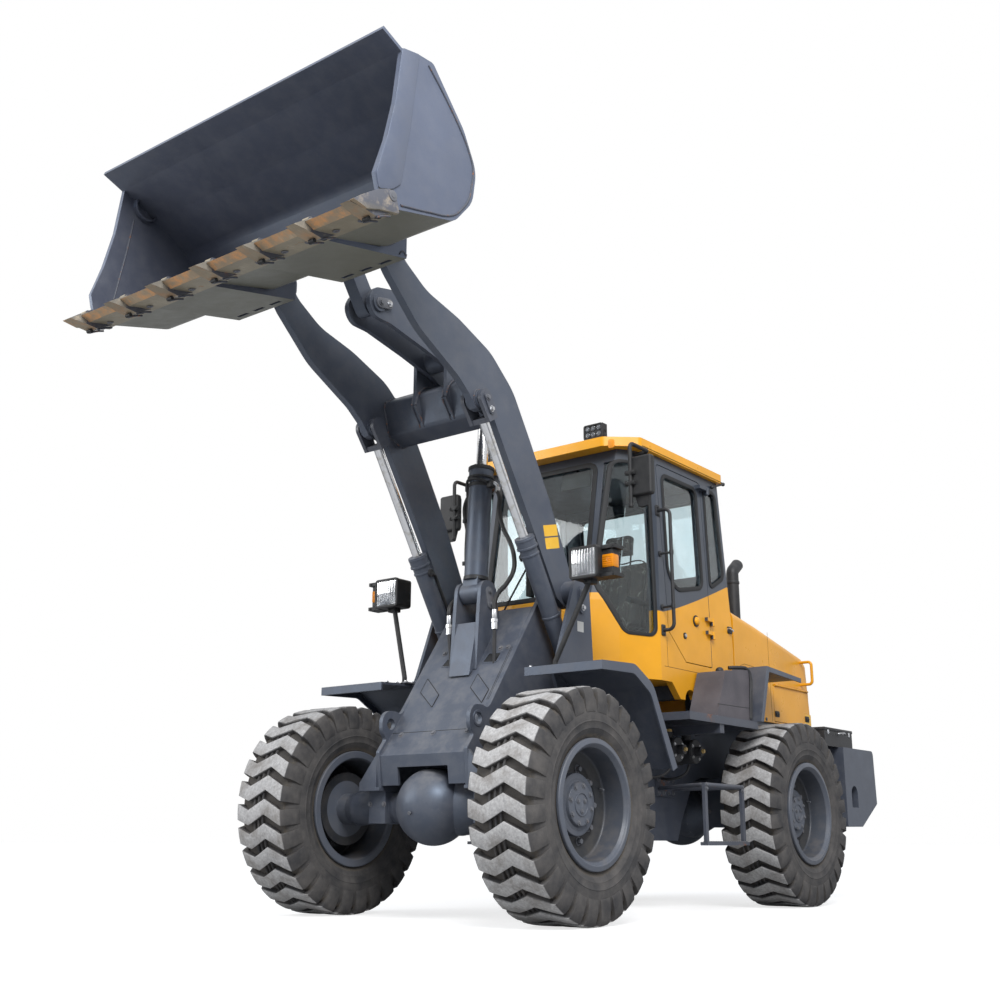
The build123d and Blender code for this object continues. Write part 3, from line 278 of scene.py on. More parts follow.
def newMaterial(name, **settings):
    material = bpy.data.materials.new(name)
    material.use_nodes = True
    tree = material.node_tree
    shader = tree.nodes["Principled BSDF"]
    for key, value in settings.items():
        shader.inputs[key.replace("_", " ")].default_value = value
    place = put(tree, "ShaderNodeTexCoord")
    return material, tree, shader, place.outputs["Object"], place.outputs["Normal"]


def addBump(tree, shader, height, strength, distance, edge=0.0):
    bump = put(tree, "ShaderNodeBump", Strength=strength, Distance=distance)
    join(tree, (height, bump.inputs["Height"]), (bump.outputs["Normal"], shader.inputs["Normal"]))
    if edge:
        rounding = put(tree, "ShaderNodeBevel", samples=4, Radius=edge)
        join(tree, (rounding.outputs["Normal"], bump.inputs["Normal"]))


roadDust = (150, 146, 140)


def paintMaterial(name, paint, dust=roadDust, dustiness=0.3, gloss=0.42, edge=0.004, mask=None, second=None,
                  sheen=None, under=None):
    # mask builds a second colour's area from the coordinates, under is the colour of worn undersides
    material, tree, shader, coords, facing = newMaterial(name, Specular_IOR_Level=0.65 if sheen else 0.4)
    # sheen tints the paint's reflections: painted reflection colour
    if sheen:
        shader.inputs["Specular Tint"].default_value = sheen
    skin = put(tree, "ShaderNodeGroup", node_tree=weather)
    for key, value in (("Paint", rgb(*paint)), ("Dust", rgb(*dust)), ("Dustiness", dustiness),
                       ("Gloss", gloss)):
        skin.inputs[key].default_value = value
    join(tree, (coords, skin.inputs["Vector"]), (facing, skin.inputs["Facing"]),
         (skin.outputs["Color"], shader.inputs["Base Color"]),
         (skin.outputs["Roughness"], shader.inputs["Roughness"]))
    if mask:
        base = rgb(*paint)
        if under:
            part = put(tree, "ShaderNodeSeparateXYZ")
            join(tree, (facing, part.inputs[0]))
            base = blendColor(tree, remap(tree, part.outputs["Z"], -0.55, -0.8), base, rgb(*under))
        join(tree, (blendColor(tree, mask(tree, coords, facing), base, rgb(*second)), skin.inputs["Paint"]))
    addBump(tree, shader, skin.outputs["Height"], 0.35, 0.0012, edge)
    return material


def belowWindows(tree, coords, facing):
    # 1 under the line where the cab's lower body colour ends: it rises towards the back
    part = put(tree, "ShaderNodeSeparateXYZ")
    join(tree, (coords, part.inputs[0]))
    front, back = spot(-1501, 0, 2039), spot(-2502, 0, 2374)
    run = remap(tree, part.outputs["X"], front.x, back.x)
    line = remap(tree, calc(tree, "POWER", run, 1.15), 0.0, 1.0, front.z, back.z)
    line = calc(tree, "ADD", line, remap(tree, part.outputs["X"], spot(-1070, 0, 0).x, spot(-1050, 0, 0).x, 0,
                                         0.091))
    under = remap(tree, calc(tree, "SUBTRACT", line, part.outputs["Z"]), -0.0012, 0.0012)
    # the walls' inner faces stay dark
    away = put(tree, "ShaderNodeVectorMath", operation="SUBTRACT")
    away.inputs[1].default_value = spot(-1750, 0, 2300)
    look = put(tree, "ShaderNodeVectorMath", operation="DOT_PRODUCT")
    join(tree, (coords, away.inputs[0]), (away.outputs[0], look.inputs[0]), (facing, look.inputs[1]))
    return calc(tree, "MULTIPLY", under, remap(tree, look.outputs["Value"], 0.0, 0.02))


def wheelDishShade(tree, coords, facing):
    # 1 on the deep part of a wheel's disc, between the hub and the barrel, where a dark colour is painted
    # shade in the well
    part = put(tree, "ShaderNodeSeparateXYZ")
    join(tree, (coords, part.inputs[0]))
    rearAxle = middle("tyre_rear_left")
    half = (frontAxle.x - rearAxle.x) / 2
    along = calc(tree, "ABSOLUTE", calc(tree, "SUBTRACT", part.outputs["X"], frontAxle.x - half))
    along = calc(tree, "SUBTRACT", along, half)
    up = calc(tree, "SUBTRACT", part.outputs["Z"], frontAxle.z)
    radius = calc(tree, "SQRT", calc(tree, "ADD", calc(tree, "MULTIPLY", along, along),
                                     calc(tree, "MULTIPLY", up, up)))
    outer = remap(tree, radius, 0.325, 0.30)
    return calc(tree, "MULTIPLY", outer, remap(tree, radius, 0.178, 0.182))


def insideBucket(tree, coords, facing):
    # 1 on faces that look into the bucket, which get a darker paint as painted shade
    heart = spot(1720, 0, 4080)
    towards = put(tree, "ShaderNodeVectorMath", operation="SUBTRACT")
    towards.inputs[0].default_value = heart
    look = put(tree, "ShaderNodeVectorMath", operation="DOT_PRODUCT")
    join(tree, (coords, towards.inputs[1]), (towards.outputs[0], look.inputs[0]), (facing, look.inputs[1]))
    return remap(tree, look.outputs["Value"], 0.02, 0.03)


colours = {
    "yellow": (226, 158, 26),
    "dark": (70, 74, 84),
    "bucket": (86, 92, 108),
    "bucketInsideShade": (74, 77, 88),
    "rim": (84, 89, 99),
    "black": (38, 39, 42),
    "cabFrame": (60, 66, 76),
}

# blue tint on the paint's reflections: a painted reflection of a blue sky
paintedSkyTint = (0.66, 0.80, 1.0, 1)
yellowPaint = paintMaterial("yellowPaint", colours["yellow"], dustiness=0.06, gloss=0.3)
darkPaint = paintMaterial("darkPaint", colours["dark"], dustiness=0.3, gloss=0.42, sheen=paintedSkyTint)
cabPaint = paintMaterial("cabPaint", colours["cabFrame"], dustiness=0.06, gloss=0.34, mask=belowWindows,
                         second=colours["yellow"])
# the bucket's inside is painted darker than its outside: painted shade
bucketPaint = paintMaterial("bucketPaint", colours["bucket"], dustiness=0.25, gloss=0.42, mask=insideBucket,
                            second=colours["bucketInsideShade"], sheen=paintedSkyTint, under=(112, 110, 97))
# the rim's deep dish gets a dark second colour: painted shade in the wheel's well
rimPaint = paintMaterial("rimPaint", colours["rim"], dust=(140, 128, 112), dustiness=0.25, gloss=0.4,
                         mask=wheelDishShade, second=(42, 44, 48))
blackSteel = paintMaterial("blackSteel", colours["black"], dustiness=0.2, gloss=0.5)
blackPlastic = paintMaterial("blackPlastic", (30, 31, 33), dustiness=0.15, gloss=0.55, edge=0.002)


def makeRubber():
    material, tree, shader, coords, _ = newMaterial("tyreRubber", Roughness=0.9)
    shader.inputs["Specular IOR Level"].default_value = 0.25
    uv = put(tree, "ShaderNodeAttribute", attribute_name="height")
    top = remap(tree, uv.outputs["Fac"], 0.78, 0.97)
    deep = remap(tree, uv.outputs["Fac"], 0.0, 0.55, 1.0, 0.0)
    stain = noise(tree, coords, 7.0, 6, 0.65)
    fine = noise(tree, coords, 60.0, 5, 0.7)
    speck = noise(tree, coords, 260.0, 2, 0.6)
    side = blendColor(tree, remap(tree, stain, 0.35, 0.7), rgb(58, 58, 60), rgb(94, 91, 89))
    side = blendColor(tree, calc(tree, "MULTIPLY", deep, remap(tree, fine, 0.3, 0.6)), side, rgb(88, 82, 74))
    tread = blendColor(tree, remap(tree, fine, 0.35, 0.65), rgb(148, 147, 147), rgb(182, 181, 180))
    tread = blendColor(tree, remap(tree, stain, 0.45, 0.75), tread, rgb(118, 113, 108))
    color = blendColor(tree, top, side, tread)
    join(tree, (color, shader.inputs["Base Color"]),
         (remap(tree, stain, 0.3, 0.7, 0.72, 0.95), shader.inputs["Roughness"]))
    addBump(tree, shader, calc(tree, "ADD", calc(tree, "MULTIPLY", fine, 0.7),
                               calc(tree, "MULTIPLY", speck, 0.3)),
            0.5, 0.004)
    return material


tyreRubber = makeRubber()


def makeEdgeSteel():
    # cutting edge and teeth: dark paint rubbed off to brown rust and bright steel
    material, tree, shader, coords, facing = newMaterial("edgeSteel")
    wear = put(tree, "ShaderNodeGroup", node_tree=scratches)
    wear.inputs["Stretch"].default_value = (1.0, 6.0, 1.0)
    wear.inputs["Rubbed"].default_value = rgb(190, 174, 150)
    wear.inputs["Amount"].default_value = 0.8
    # the paint stays on top, the underside is bare, the front faces are rusty
    look = put(tree, "ShaderNodeVectorMath", operation="DOT_PRODUCT")
    look.inputs[1].default_value = (0.8, 0, -0.6)
    join(tree, (facing, look.inputs[0]))
    bare = remap(tree, look.outputs["Value"], 0.0, 0.22)
    front = remap(tree, look.outputs["Value"], 0.55, 0.8)
    patch = noise(tree, coords, 11.0, 6, 0.7)
    rust = calc(tree, "MAXIMUM", calc(tree, "MULTIPLY", front, remap(tree, patch, 0.44, 0.60, 0.15, 0.85)),
                remap(tree, patch, 0.60, 0.70, 0.0, 0.7))
    rusty = blendColor(tree, front, rgb(158, 108, 70), rgb(206, 150, 98))
    join(tree, (coords, wear.inputs["Vector"]),
         (blendColor(tree, bare, rgb(78, 80, 88), rgb(138, 129, 110)), wear.inputs["Base"]),
         (blendColor(tree, rust, wear.outputs["Color"], rusty), shader.inputs["Base Color"]),
         (remap(tree, wear.outputs["Mask"], 0, 1, 0.0, 0.4), shader.inputs["Metallic"]),
         (remap(tree, rust, 0, 1, 0.45, 0.85), shader.inputs["Roughness"]))
    addBump(tree, shader, wear.outputs["Height"], 0.4, 0.003, 0.003)
    return material


edgeSteel = makeEdgeSteel()


def makeGlass():
    material, tree, shader, coords, _ = newMaterial("clearGlass", Roughness=0.02, Transmission_Weight=1.0,
                                                    IOR=1.45)
    smear = noise(tree, coords, 3.0, 5)
    join(tree, (blendColor(tree, remap(tree, smear, 0.3, 0.7), rgb(212, 226, 230), rgb(224, 234, 236)),
                shader.inputs["Base Color"]))
    return material


clearGlass = makeGlass()
seatFabric = paintMaterial("seatFabric", (46, 47, 50), dustiness=0.1, gloss=0.75, edge=0.0)

def rodMaterial(name, start, end, across, radius, forkAt, alongZ=False):
    # chrome on the round shaft between two pins, paint on the fork beyond it
    material, tree, shader, coords, facing = newMaterial(name)
    skin = put(tree, "ShaderNodeGroup", node_tree=weather)
    for key, value in (("Paint", rgb(*colours["dark"])), ("Dust", rgb(*roadDust)), ("Dustiness", 0.3),
                       ("Gloss", 0.42)):
        skin.inputs[key].default_value = value
    join(tree, (coords, skin.inputs["Vector"]), (facing, skin.inputs["Facing"]))
    line = (end - start).normalized()
    sideways = Vector((line.z, 0, -line.x)) if not alongZ else Vector((0, 0, 1))
    level = (Vector((0, 1, 0)), sideways) if not alongZ else (Vector((-line.y, line.x, 0)), sideways)
    part = put(tree, "ShaderNodeSeparateXYZ")
    join(tree, (coords, part.inputs[0]))
    # both machine sides share the material: work on the left side's coordinates
    folded = put(tree, "ShaderNodeCombineXYZ")
    join(tree, (part.outputs["X"], folded.inputs[0]),
         (calc(tree, "ABSOLUTE", part.outputs["Y"]), folded.inputs[1]), (part.outputs["Z"], folded.inputs[2]))
    away = put(tree, "ShaderNodeVectorMath", operation="SUBTRACT")
    away.inputs[1].default_value = start
    join(tree, ((folded if across else part).outputs[0] if across else coords, away.inputs[0]))

    def along(direction):
        node = put(tree, "ShaderNodeVectorMath", operation="DOT_PRODUCT")
        node.inputs[1].default_value = direction
        join(tree, (away.outputs[0], node.inputs[0]))
        return node.outputs["Value"]
    squares = [calc(tree, "MULTIPLY", value, value) for value in map(along, level)]
    near = remap(tree, calc(tree, "SQRT", calc(tree, "ADD", *squares)), radius + 0.0012, radius + 0.0008)
    shaft = calc(tree, "MULTIPLY", near, remap(tree, along(line), forkAt, forkAt - 0.0006))
    film = noise(tree, coords, 22.0, 4)
    chrome = blendColor(tree, remap(tree, film, 0.5, 0.75), rgb(214, 215, 217), rgb(180, 176, 168))
    roughMix = put(tree, "ShaderNodeMix")
    join(tree, (shaft, roughMix.inputs[0]), (skin.outputs["Roughness"], roughMix.inputs[2]),
         (remap(tree, film, 0.3, 0.7, 0.13, 0.26), roughMix.inputs[3]),
         (roughMix.outputs[0], shader.inputs["Roughness"]),
         (blendColor(tree, shaft, skin.outputs["Color"], chrome), shader.inputs["Base Color"]),
         (shaft, shader.inputs["Metallic"]))
    addBump(tree, shader, calc(tree, "MULTIPLY", skin.outputs["Height"], calc(tree, "SUBTRACT", 1.0, shaft)),
            0.35, 0.0012)
    return material


liftRodPaint = rodMaterial("liftRodPaint", spot(-838, 465, 1430), spot(262, 465, 3185), True, 0.032, 1.921)
tiltRodPaint = rodMaterial("tiltRodPaint", spot(-315, 0, 2075), spot(-410, 0, 3480), False, 0.040, 1.345)
steerRodPaint = rodMaterial("steerRodPaint", spot(-2050, 235, 900), spot(-1250, 260, 900), True, 0.022, 0.745,
                            True)


def plasticMaterial(name, color, gloss=0.5, grain=0.25, second=None):
    # moulded plastic or rubber with a fine grain and slow shade changes
    material, tree, shader, coords, _ = newMaterial(name, Specular_IOR_Level=0.4)
    slow = noise(tree, coords, 6.0, 4)
    fine = noise(tree, coords, 650.0, 2)
    base = blendColor(tree, remap(tree, slow, 0.3, 0.7), rgb(*color),
                      rgb(*(second or tuple(min(255, c + 14) for c in color))))
    join(tree, (base, shader.inputs["Base Color"]),
         (remap(tree, slow, 0.3, 0.7, gloss - 0.06, gloss + 0.08), shader.inputs["Roughness"]))
    addBump(tree, shader, fine, grain, 0.0006)
    return material


blackRubber = plasticMaterial("blackRubber", (24, 25, 27), 0.62, 0.3)
amberPlastic = plasticMaterial("amberPlastic", (222, 140, 34), 0.35, 0.1)
hoseRubber = plasticMaterial("hoseRubber", (28, 28, 30), 0.5, 0.45, (46, 45, 45))
decalYellow = plasticMaterial("decalYellow", (236, 186, 52), 0.3, 0.05, (226, 172, 44))
decalWhite = plasticMaterial("decalWhite", (226, 226, 222), 0.34, 0.05, (206, 205, 200))
brassCap = plasticMaterial("brassCap", (196, 168, 110), 0.42, 0.2, (170, 140, 84))


def lensMaterial(name, color, rough=0.05, through=0.9):
    material, tree, shader, coords, _ = newMaterial(name, Transmission_Weight=through, IOR=1.35,
                                                    Roughness=rough)
    haze = noise(tree, coords, 30.0, 3)
    join(tree, (blendColor(tree, remap(tree, haze, 0.3, 0.7), rgb(*color), rgb(*[c * 0.94 for c in color])),
                shader.inputs["Base Color"]))
    return material


lampLens = lensMaterial("lampLens", (238, 240, 242))
amberLens = lensMaterial("amberLens", (246, 152, 22), 0.12, 0.25)


def metalMaterial(name, color, second, rough=0.2, patches=25.0):
    material, tree, shader, coords, _ = newMaterial(name, Metallic=1.0)
    film = noise(tree, coords, patches, 4)
    join(tree, (blendColor(tree, remap(tree, film, 0.45, 0.75), rgb(*color), rgb(*second)),
                shader.inputs["Base Color"]),
         (remap(tree, film, 0.3, 0.7, rough, rough + 0.16), shader.inputs["Roughness"]))
    return material


redLens = lensMaterial("redLens", (196, 34, 28), 0.12, 0.25)
seamShade = paintMaterial("seamShade", (124, 84, 26), dustiness=0.1, gloss=0.6, edge=0.0)
sideBoxPlastic = plasticMaterial("sideBoxPlastic", (76, 73, 78), 0.72, 0.7, (96, 92, 96))


lampChrome = metalMaterial("lampChrome", (84, 88, 94), (60, 64, 70), 0.3)
mirrorGlass = metalMaterial("mirrorGlass", (214, 220, 224), (204, 210, 214), 0.02, 2.0)
zincSteel = metalMaterial("zincSteel", (196, 198, 202), (160, 156, 148), 0.28)


def rustySteel(name, paint, rust, low, high, scale=14.0):
    # paint that gives way to rust in patches
    material, tree, shader, coords, facing = newMaterial(name, Specular_IOR_Level=0.4)
    skin = put(tree, "ShaderNodeGroup", node_tree=weather)
    for key, value in (("Paint", rgb(*paint)), ("Dust", rgb(*roadDust)), ("Dustiness", 0.3), ("Gloss", 0.45)):
        skin.inputs[key].default_value = value
    join(tree, (coords, skin.inputs["Vector"]), (facing, skin.inputs["Facing"]))
    patch = noise(tree, coords, scale, 8, 0.72)
    mask = remap(tree, patch, low, high)
    rusty = blendColor(tree, remap(tree, noise(tree, coords, scale * 5, 4), 0.35, 0.65), rgb(*rust),
                       rgb(*[c * 0.6 for c in rust]))
    join(tree, (blendColor(tree, mask, skin.outputs["Color"], rusty), shader.inputs["Base Color"]),
         (calc(tree, "MAXIMUM", skin.outputs["Roughness"], calc(tree, "MULTIPLY", mask, 0.85)),
          shader.inputs["Roughness"]))
    addBump(tree, shader, calc(tree, "ADD", skin.outputs["Height"], calc(tree, "MULTIPLY", mask, 0.8)), 0.5,
            0.0015)
    return material


stepPaint = rustySteel("stepPaint", colours["dark"], (150, 96, 62), 0.60, 0.70, 6.0)
weldBead = rustySteel("weldBead", colours["dark"], (150, 96, 60), 0.56, 0.66, 30.0)
boltSteel = rustySteel("boltSteel", (96, 98, 104), (142, 100, 66), 0.60, 0.72, 40.0)


def makeSeatCover():
    # woven cloth under a thin creased plastic cover, whose creases carry painted highlights in near white
    material, tree, shader, coords, _ = newMaterial("seatCover", Roughness=0.85, Sheen_Weight=0.3)
    part = put(tree, "ShaderNodeSeparateXYZ")
    join(tree, (coords, part.inputs[0]))
    threads = [calc(tree, "SINE", calc(tree, "MULTIPLY", part.outputs[axis], 1900.0)) for axis in ("Y", "Z")]
    threads.append(calc(tree, "SINE", calc(tree, "MULTIPLY", part.outputs["X"], 1900.0)))
    weave = calc(tree, "ADD", calc(tree, "MULTIPLY", threads[0], threads[1]),
                 calc(tree, "MULTIPLY", threads[0], threads[2]))
    ridge = calc(tree, "ABSOLUTE", calc(tree, "SUBTRACT", noise(tree, coords, 13.0, 5, 0.5), 0.5))
    slow = noise(tree, coords, 8.0, 4)
    patch = remap(tree, slow, 0.46, 0.6)
    fold = calc(tree, "SUBTRACT", 1.0, calc(tree, "MULTIPLY", remap(tree, ridge, 0.03, 0.0), patch))
    cloth = blendColor(tree, remap(tree, slow, 0.35, 0.7), rgb(58, 50, 44), rgb(84, 72, 62))
    # painted highlights: the cover's creases turn near white where a plastic fold would catch the light
    creaseHighlight = blendColor(tree, remap(tree, fold, 0.0, 0.8, 0.8, 0.0), cloth, rgb(206, 203, 197))
    join(tree, (creaseHighlight, shader.inputs["Base Color"]),
         (remap(tree, fold, 0.0, 1.0, 0.25, 0.5), shader.inputs["Roughness"]))
    addBump(tree, shader, calc(tree, "ADD", calc(tree, "MULTIPLY", fold, 1.0),
                               calc(tree, "MULTIPLY", weave, 0.05)),
            0.6, 0.004)
    return material


seatCover = makeSeatCover()
seatPiping = plasticMaterial("seatPiping", (40, 36, 33), 0.6, 0.4)


nodeMaterials = {
    yellowPaint: ["hood", "hood_door", "cab_roof"],
    cabPaint: ["cab_shell", "cab_door"],
    darkPaint: ["boom", "bellcrank", "bucket_link", "front_frame", "front_axle", "front_fenders",
                "rear_frame",
                "rear_axle", "counterweight", "rear_fenders", "tilt_barrel", "lift_barrel", "steer_barrel"],
    stepPaint: ["steps"],
    sideBoxPlastic: ["side_boxes"],
    liftRodPaint: ["lift_rod"],
    tiltRodPaint: ["tilt_rod"],
    steerRodPaint: ["steer_rod"],
    bucketPaint: ["bucket"],
    edgeSteel: ["bucket_edge"],
    rimPaint: ["rim"],
    blackSteel: ["brake_boosters", "engine_block", "exhaust_stack", "grab_rails", "battery_boxes",
                 "rear_grille"],
    blackPlastic: ["headlamps", "mirrors", "roof_lamps", "steering_console"],
    seatFabric: ["seat"],
    clearGlass: ["cab_glass", "door_glass"],
    tyreRubber: ["tyre"],
}


def dressNodes():
    endings = ("_left", "_right", "_front", "_rear")
    for name, node in nodes.items():
        root = name
        for _ in range(2):
            for ending in endings:
                if root not in sum(nodeMaterials.values(), []) and root.endswith(ending):
                    root = root[: -len(ending)]
        for material, roots in nodeMaterials.items():
            if root in roots:
                for slot in node.material_slots:
                    slot.material = material


dressNodes()
print("materials ready")


tyreSizes = {
    "lugs": 28,
    "tread": 0.670,
    "zigzag": [(-0.200, -0.030), (-0.092, -0.068), (0.048, 0.0), (0.200, -0.072)],  # across, along the tread
}

# across, radius, depth of the lug there, share of the pitch that is lug
lugStations = [(0.2215, 0.520, 0.003, 0.80), (0.2225, 0.540, 0.012, 0.78), (0.2225, 0.575, 0.022, 0.73),
               (0.2200, 0.608, 0.030, 0.69), (0.2150, 0.634, 0.034, 0.67), (0.2060, 0.656, 0.038, 0.66),
               (0.1930, 0.667, 0.039, 0.65), (0.1700, 0.6695, 0.039, 0.64), (0.1350, 0.6700, 0.039, 0.63),
               (0.0950, 0.6700, 0.039, 0.62), (0.0480, 0.6700, 0.039, 0.62), (0.0, 0.6700, 0.039, 0.62)]
carcassProfile = [(0.0, 0.633), (0.150, 0.631), (0.186, 0.620), (0.205, 0.592), (0.2135, 0.550),
                  (0.2185, 0.523),
                  (0.2215, 0.500), (0.2215, 0.474), (0.2235, 0.471), (0.2235, 0.468), (0.2210, 0.465),
                  (0.2160, 0.432), (0.2165, 0.428), (0.2130, 0.424), (0.2050, 0.402), (0.1960, 0.392),
                  (0.1900, 0.377), (0.1840, 0.375), (0.1840, 0.352), (0.0, 0.350)]


def zigzagAt(across):
    points = tyreSizes["zigzag"]
    across = max(points[0][0], min(points[-1][0], across))
    for (a, low), (b, high) in zip(points, points[1:]):
        if across <= b:
            return low + (high - low) * (across - a) / (b - a)


def buildTyre():
    bm = bmesh.new()
    half = [Vector((0, y, r)) for y, r in carcassProfile]
    verts = [bm.verts.new(p) for p in half]
    edges = [bm.edges.new(pair) for pair in zip(verts, verts[1:])]
    bmesh.ops.mirror(bm, geom=verts + edges, axis="Y", merge_dist=0.0001)
    bmesh.ops.spin(bm, geom=bm.verts[:] + bm.edges[:], cent=(0, 0, 0), axis=(0, 1, 0), dvec=(0, 0, 0),
                   angle=math.tau, steps=112, use_merge=True, use_duplicate=False)
    bmesh.ops.remove_doubles(bm, verts=bm.verts, dist=0.0001)

    stations = [(-y, r, d, w) for y, r, d, w in lugStations[:-1]] + lugStations[::-1]
    pitch = math.tau / tyreSizes["lugs"]
    lug = bmesh.new()
    bmesh.ops.create_grid(lug, x_segments=len(stations) - 1, y_segments=2, size=0.5)
    columns = {v: (round((v.co.x + 0.5) * (len(stations) - 1)), round((v.co.y + 0.5) * 2) - 1)
               for v in lug.verts}
    for v, (row, side) in columns.items():
        y, radius, depth, share = stations[row]
        angle = zigzagAt(y) / tyreSizes["tread"] + side * share * pitch / 2
        v.co = (radius * math.cos(angle), y, radius * math.sin(angle))
    made = bmesh.ops.extrude_face_region(lug, geom=lug.faces[:])
    lower = [v for v in made["geom"] if isinstance(v, bmesh.types.BMVert)]
    for v in lower:
        radius = math.hypot(v.co.x, v.co.z)
        y, _, depth, _ = min(stations, key=lambda s: abs(s[0] - v.co.y) + abs(s[1] - radius))
        inward = Vector((-v.co.x, 0, -v.co.z)).normalized() * 0.6
        flat = max(0.0, min(1.0, (abs(y) - 0.15) / 0.07))
        inward = (inward * (1.6 - flat) + Vector((0, -math.copysign(flat * 1.2, y), 0))).normalized()
        v.co += inward * (depth + 0.006)
    bmesh.ops.recalc_face_normals(lug, faces=lug.faces)
    bevelEdges(lug, sharpEdges(lug, angle=50), 0.003, 2)
    # bars that stiffen the groove beside the lug
    for across in (-0.060, -0.022, 0.016):
        turn = Matrix.Rotation(pitch / 2 - zigzagAt(across) / tyreSizes["tread"], 4, "Y")
        box = bmesh.ops.create_cube(lug, size=1, matrix=turn @ Matrix.Translation((0.640, across, 0))
                                    @ Matrix.Diagonal((0.022, 0.014, 0.062, 1)))
        bevelEdges(lug, sharpEdges(lug, {f for v in box["verts"] for f in v.link_faces}), 0.004, 1)
    mesh = bpy.data.meshes.new("lug")
    lug.to_mesh(mesh)
    lug.free()
    for _ in range(tyreSizes["lugs"]):
        bm.from_mesh(mesh)
        mesh.transform(Matrix.Rotation(pitch, 4, "Y"))
    bpy.data.meshes.remove(mesh)
    return bm


def makeTyres():
    master = buildTyre()
    for end in ("front", "rear"):
        for side in ("left", "right"):
            node = f"tyre_{end}_{side}"
            bm = master.copy()
            layer = bm.verts.layers.float.new("height")
            for v in bm.verts:
                radius = math.hypot(v.co.x, v.co.z)
                v[layer] = max(0.0, min(1.0, (radius - 0.62) / 0.048)) if abs(v.co.y) < 0.204 else 0.5
            bmesh.ops.translate(bm, verts=bm.verts, vec=middle(node))
            piece = newPiece(f"tyreTread_{end}_{side}", bm, tyreRubber, f"wheel_{end}_{side}", sharpAngle=32)
            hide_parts(node)
    master.free()
    print("tyres ready")


makeTyres()


# the cab's walls at three levels: height, windscreen x, its corner, side corner x and y,
# post x, side y, rear x
cabLevels = [(1550, -985, 470, -1120, 625, -1460, 755, -2555),
             (2080, -985, 480, -1120, 635, -1460, 755, -2545),
             (3200, -1185, 600, -1270, 665, -1490, 735, -2440)]


def cabWall(z):
    low, high = cabLevels[:2] if z < 2080 else cabLevels[1:]
    t = (z - low[0]) / (high[0] - low[0])
    return [a + (b - a) * t for a, b in zip(low, high)][1:]


def onSide(side):
    # flat (x, z, out) to a point on the cab's side wall
    def place(x, z, out):
        front, corner, sideX, sideHalf, post, half, _ = cabWall(z)
        if x > sideX:
            y = corner + (sideHalf - corner) * (front - x) / (front - sideX)
        elif x > post:
            y = sideHalf + (half - sideHalf) * (sideX - x) / (sideX - post)
        else:
            y = half
        return spot(x, side * (y + out), z)
    return place


def onFront(y, z, out):
    return spot(cabWall(z)[0] + out, y, z)


def onRear(y, z, out):
    return spot(cabWall(z)[6] - out, y, z)


def flatFace(corners, radius):
    # flat outline with rounded corners and short edges, ready to be bent on to a wall
    flat = bmesh.new()
    flat.faces.new([flat.verts.new((u, v, 0)) for u, v in corners])
    if radius:
        bmesh.ops.bevel(flat, geom=flat.verts[:], offset=radius, segments=6, profile=0.5, affect="VERTICES",
                        material=-1)
    for _ in range(6):
        longEdges = [e for e in flat.edges if e.calc_length() > 110]
        if longEdges:
            bmesh.ops.subdivide_edges(flat, edges=longEdges, cuts=1)
    return flat


def drop(bm, faces):
    bmesh.ops.delete(bm, geom=list(faces), context="FACES")


def raiseAndBend(bm, flat, low, high, place, bevel):
    # gives a flat mesh its height, rounds its upper edges and bends it on to the wall
    made = bmesh.ops.extrude_face_region(flat, geom=flat.faces[:])
    upper = [v for v in made["geom"] if isinstance(v, bmesh.types.BMVert)]
    bmesh.ops.translate(flat, verts=upper, vec=(0, 0, high - low))
    if bevel:
        tops = [e for e in sharpEdges(flat) if all(v.co.z > 0.1 for v in e.verts)]
        bevelEdges(flat, tops, bevel)
    for v in flat.verts:
        v.co = place(v.co.x, v.co.y, low + v.co.z)
    bmesh.ops.recalc_face_normals(flat, faces=flat.faces)
    mesh = bpy.data.meshes.new("flat")
    flat.to_mesh(mesh)
    flat.free()
    bm.from_mesh(mesh)
    bpy.data.meshes.remove(mesh)


def addBand(bm, corners, place, radius=50, outside=26, inside=12, low=-6, high=7, bevel=4):
    # raised band that follows an outline, such as the rubber round a pane
    flat = flatFace(corners, radius)
    ring = bmesh.ops.inset_region(flat, faces=flat.faces[:], thickness=-outside, use_boundary=True)["faces"]
    drop(flat, ring)
    ring = bmesh.ops.inset_region(flat, faces=flat.faces[:], thickness=outside + inside, use_boundary=True)
    drop(flat, set(flat.faces) - set(ring["faces"]))
    raiseAndBend(bm, flat, low, high, place, bevel)


def addPad(bm, corners, place, radius=8, low=-1, high=3, bevel=1.2):
    # low plate on a wall, such as a cover, a label or a handle's foot
    raiseAndBend(bm, flatFace(corners, radius), low, high, place, bevel)


def rectangle(u0, u1, v0, v1):
    return [(u0, v0), (u1, v0), (u1, v1), (u0, v1)]


def flatPlace(origin, uAxis, vAxis):
    # a plane of its own: flat (u, v, out) in millimetres from an origin in machine millimetres
    uAxis, vAxis = Vector(uAxis).normalized(), Vector(vAxis).normalized()
    outward = uAxis.cross(vAxis)

    def place(u, v, out):
        return spot(*(Vector(origin) + uAxis * u + vAxis * v + outward * out))
    return place


def addTube(bm, points, radius, steps=10, segments=12, ends=True):
    # round tube along a smooth curve through the route's points
    curve = bpy.data.curves.new("route", "CURVE")
    curve.dimensions = "3D"
    line = curve.splines.new("BEZIER")
    line.bezier_points.add(len(points) - 1)
    for target, point in zip(line.bezier_points, points):
        target.co = point
        target.handle_left_type = target.handle_right_type = "AUTO"
    curve.resolution_u = steps
    curve.bevel_depth = radius
    curve.bevel_resolution = max(1, segments // 4)
    curve.use_fill_caps = ends
    holder = bpy.data.objects.new("route", curve)
    bpy.context.scene.collection.objects.link(holder)
    mesh = bpy.data.meshes.new_from_object(holder)
    bm.from_mesh(mesh)
    bpy.data.objects.remove(holder)
    bpy.data.curves.remove(curve)
    bpy.data.meshes.remove(mesh)


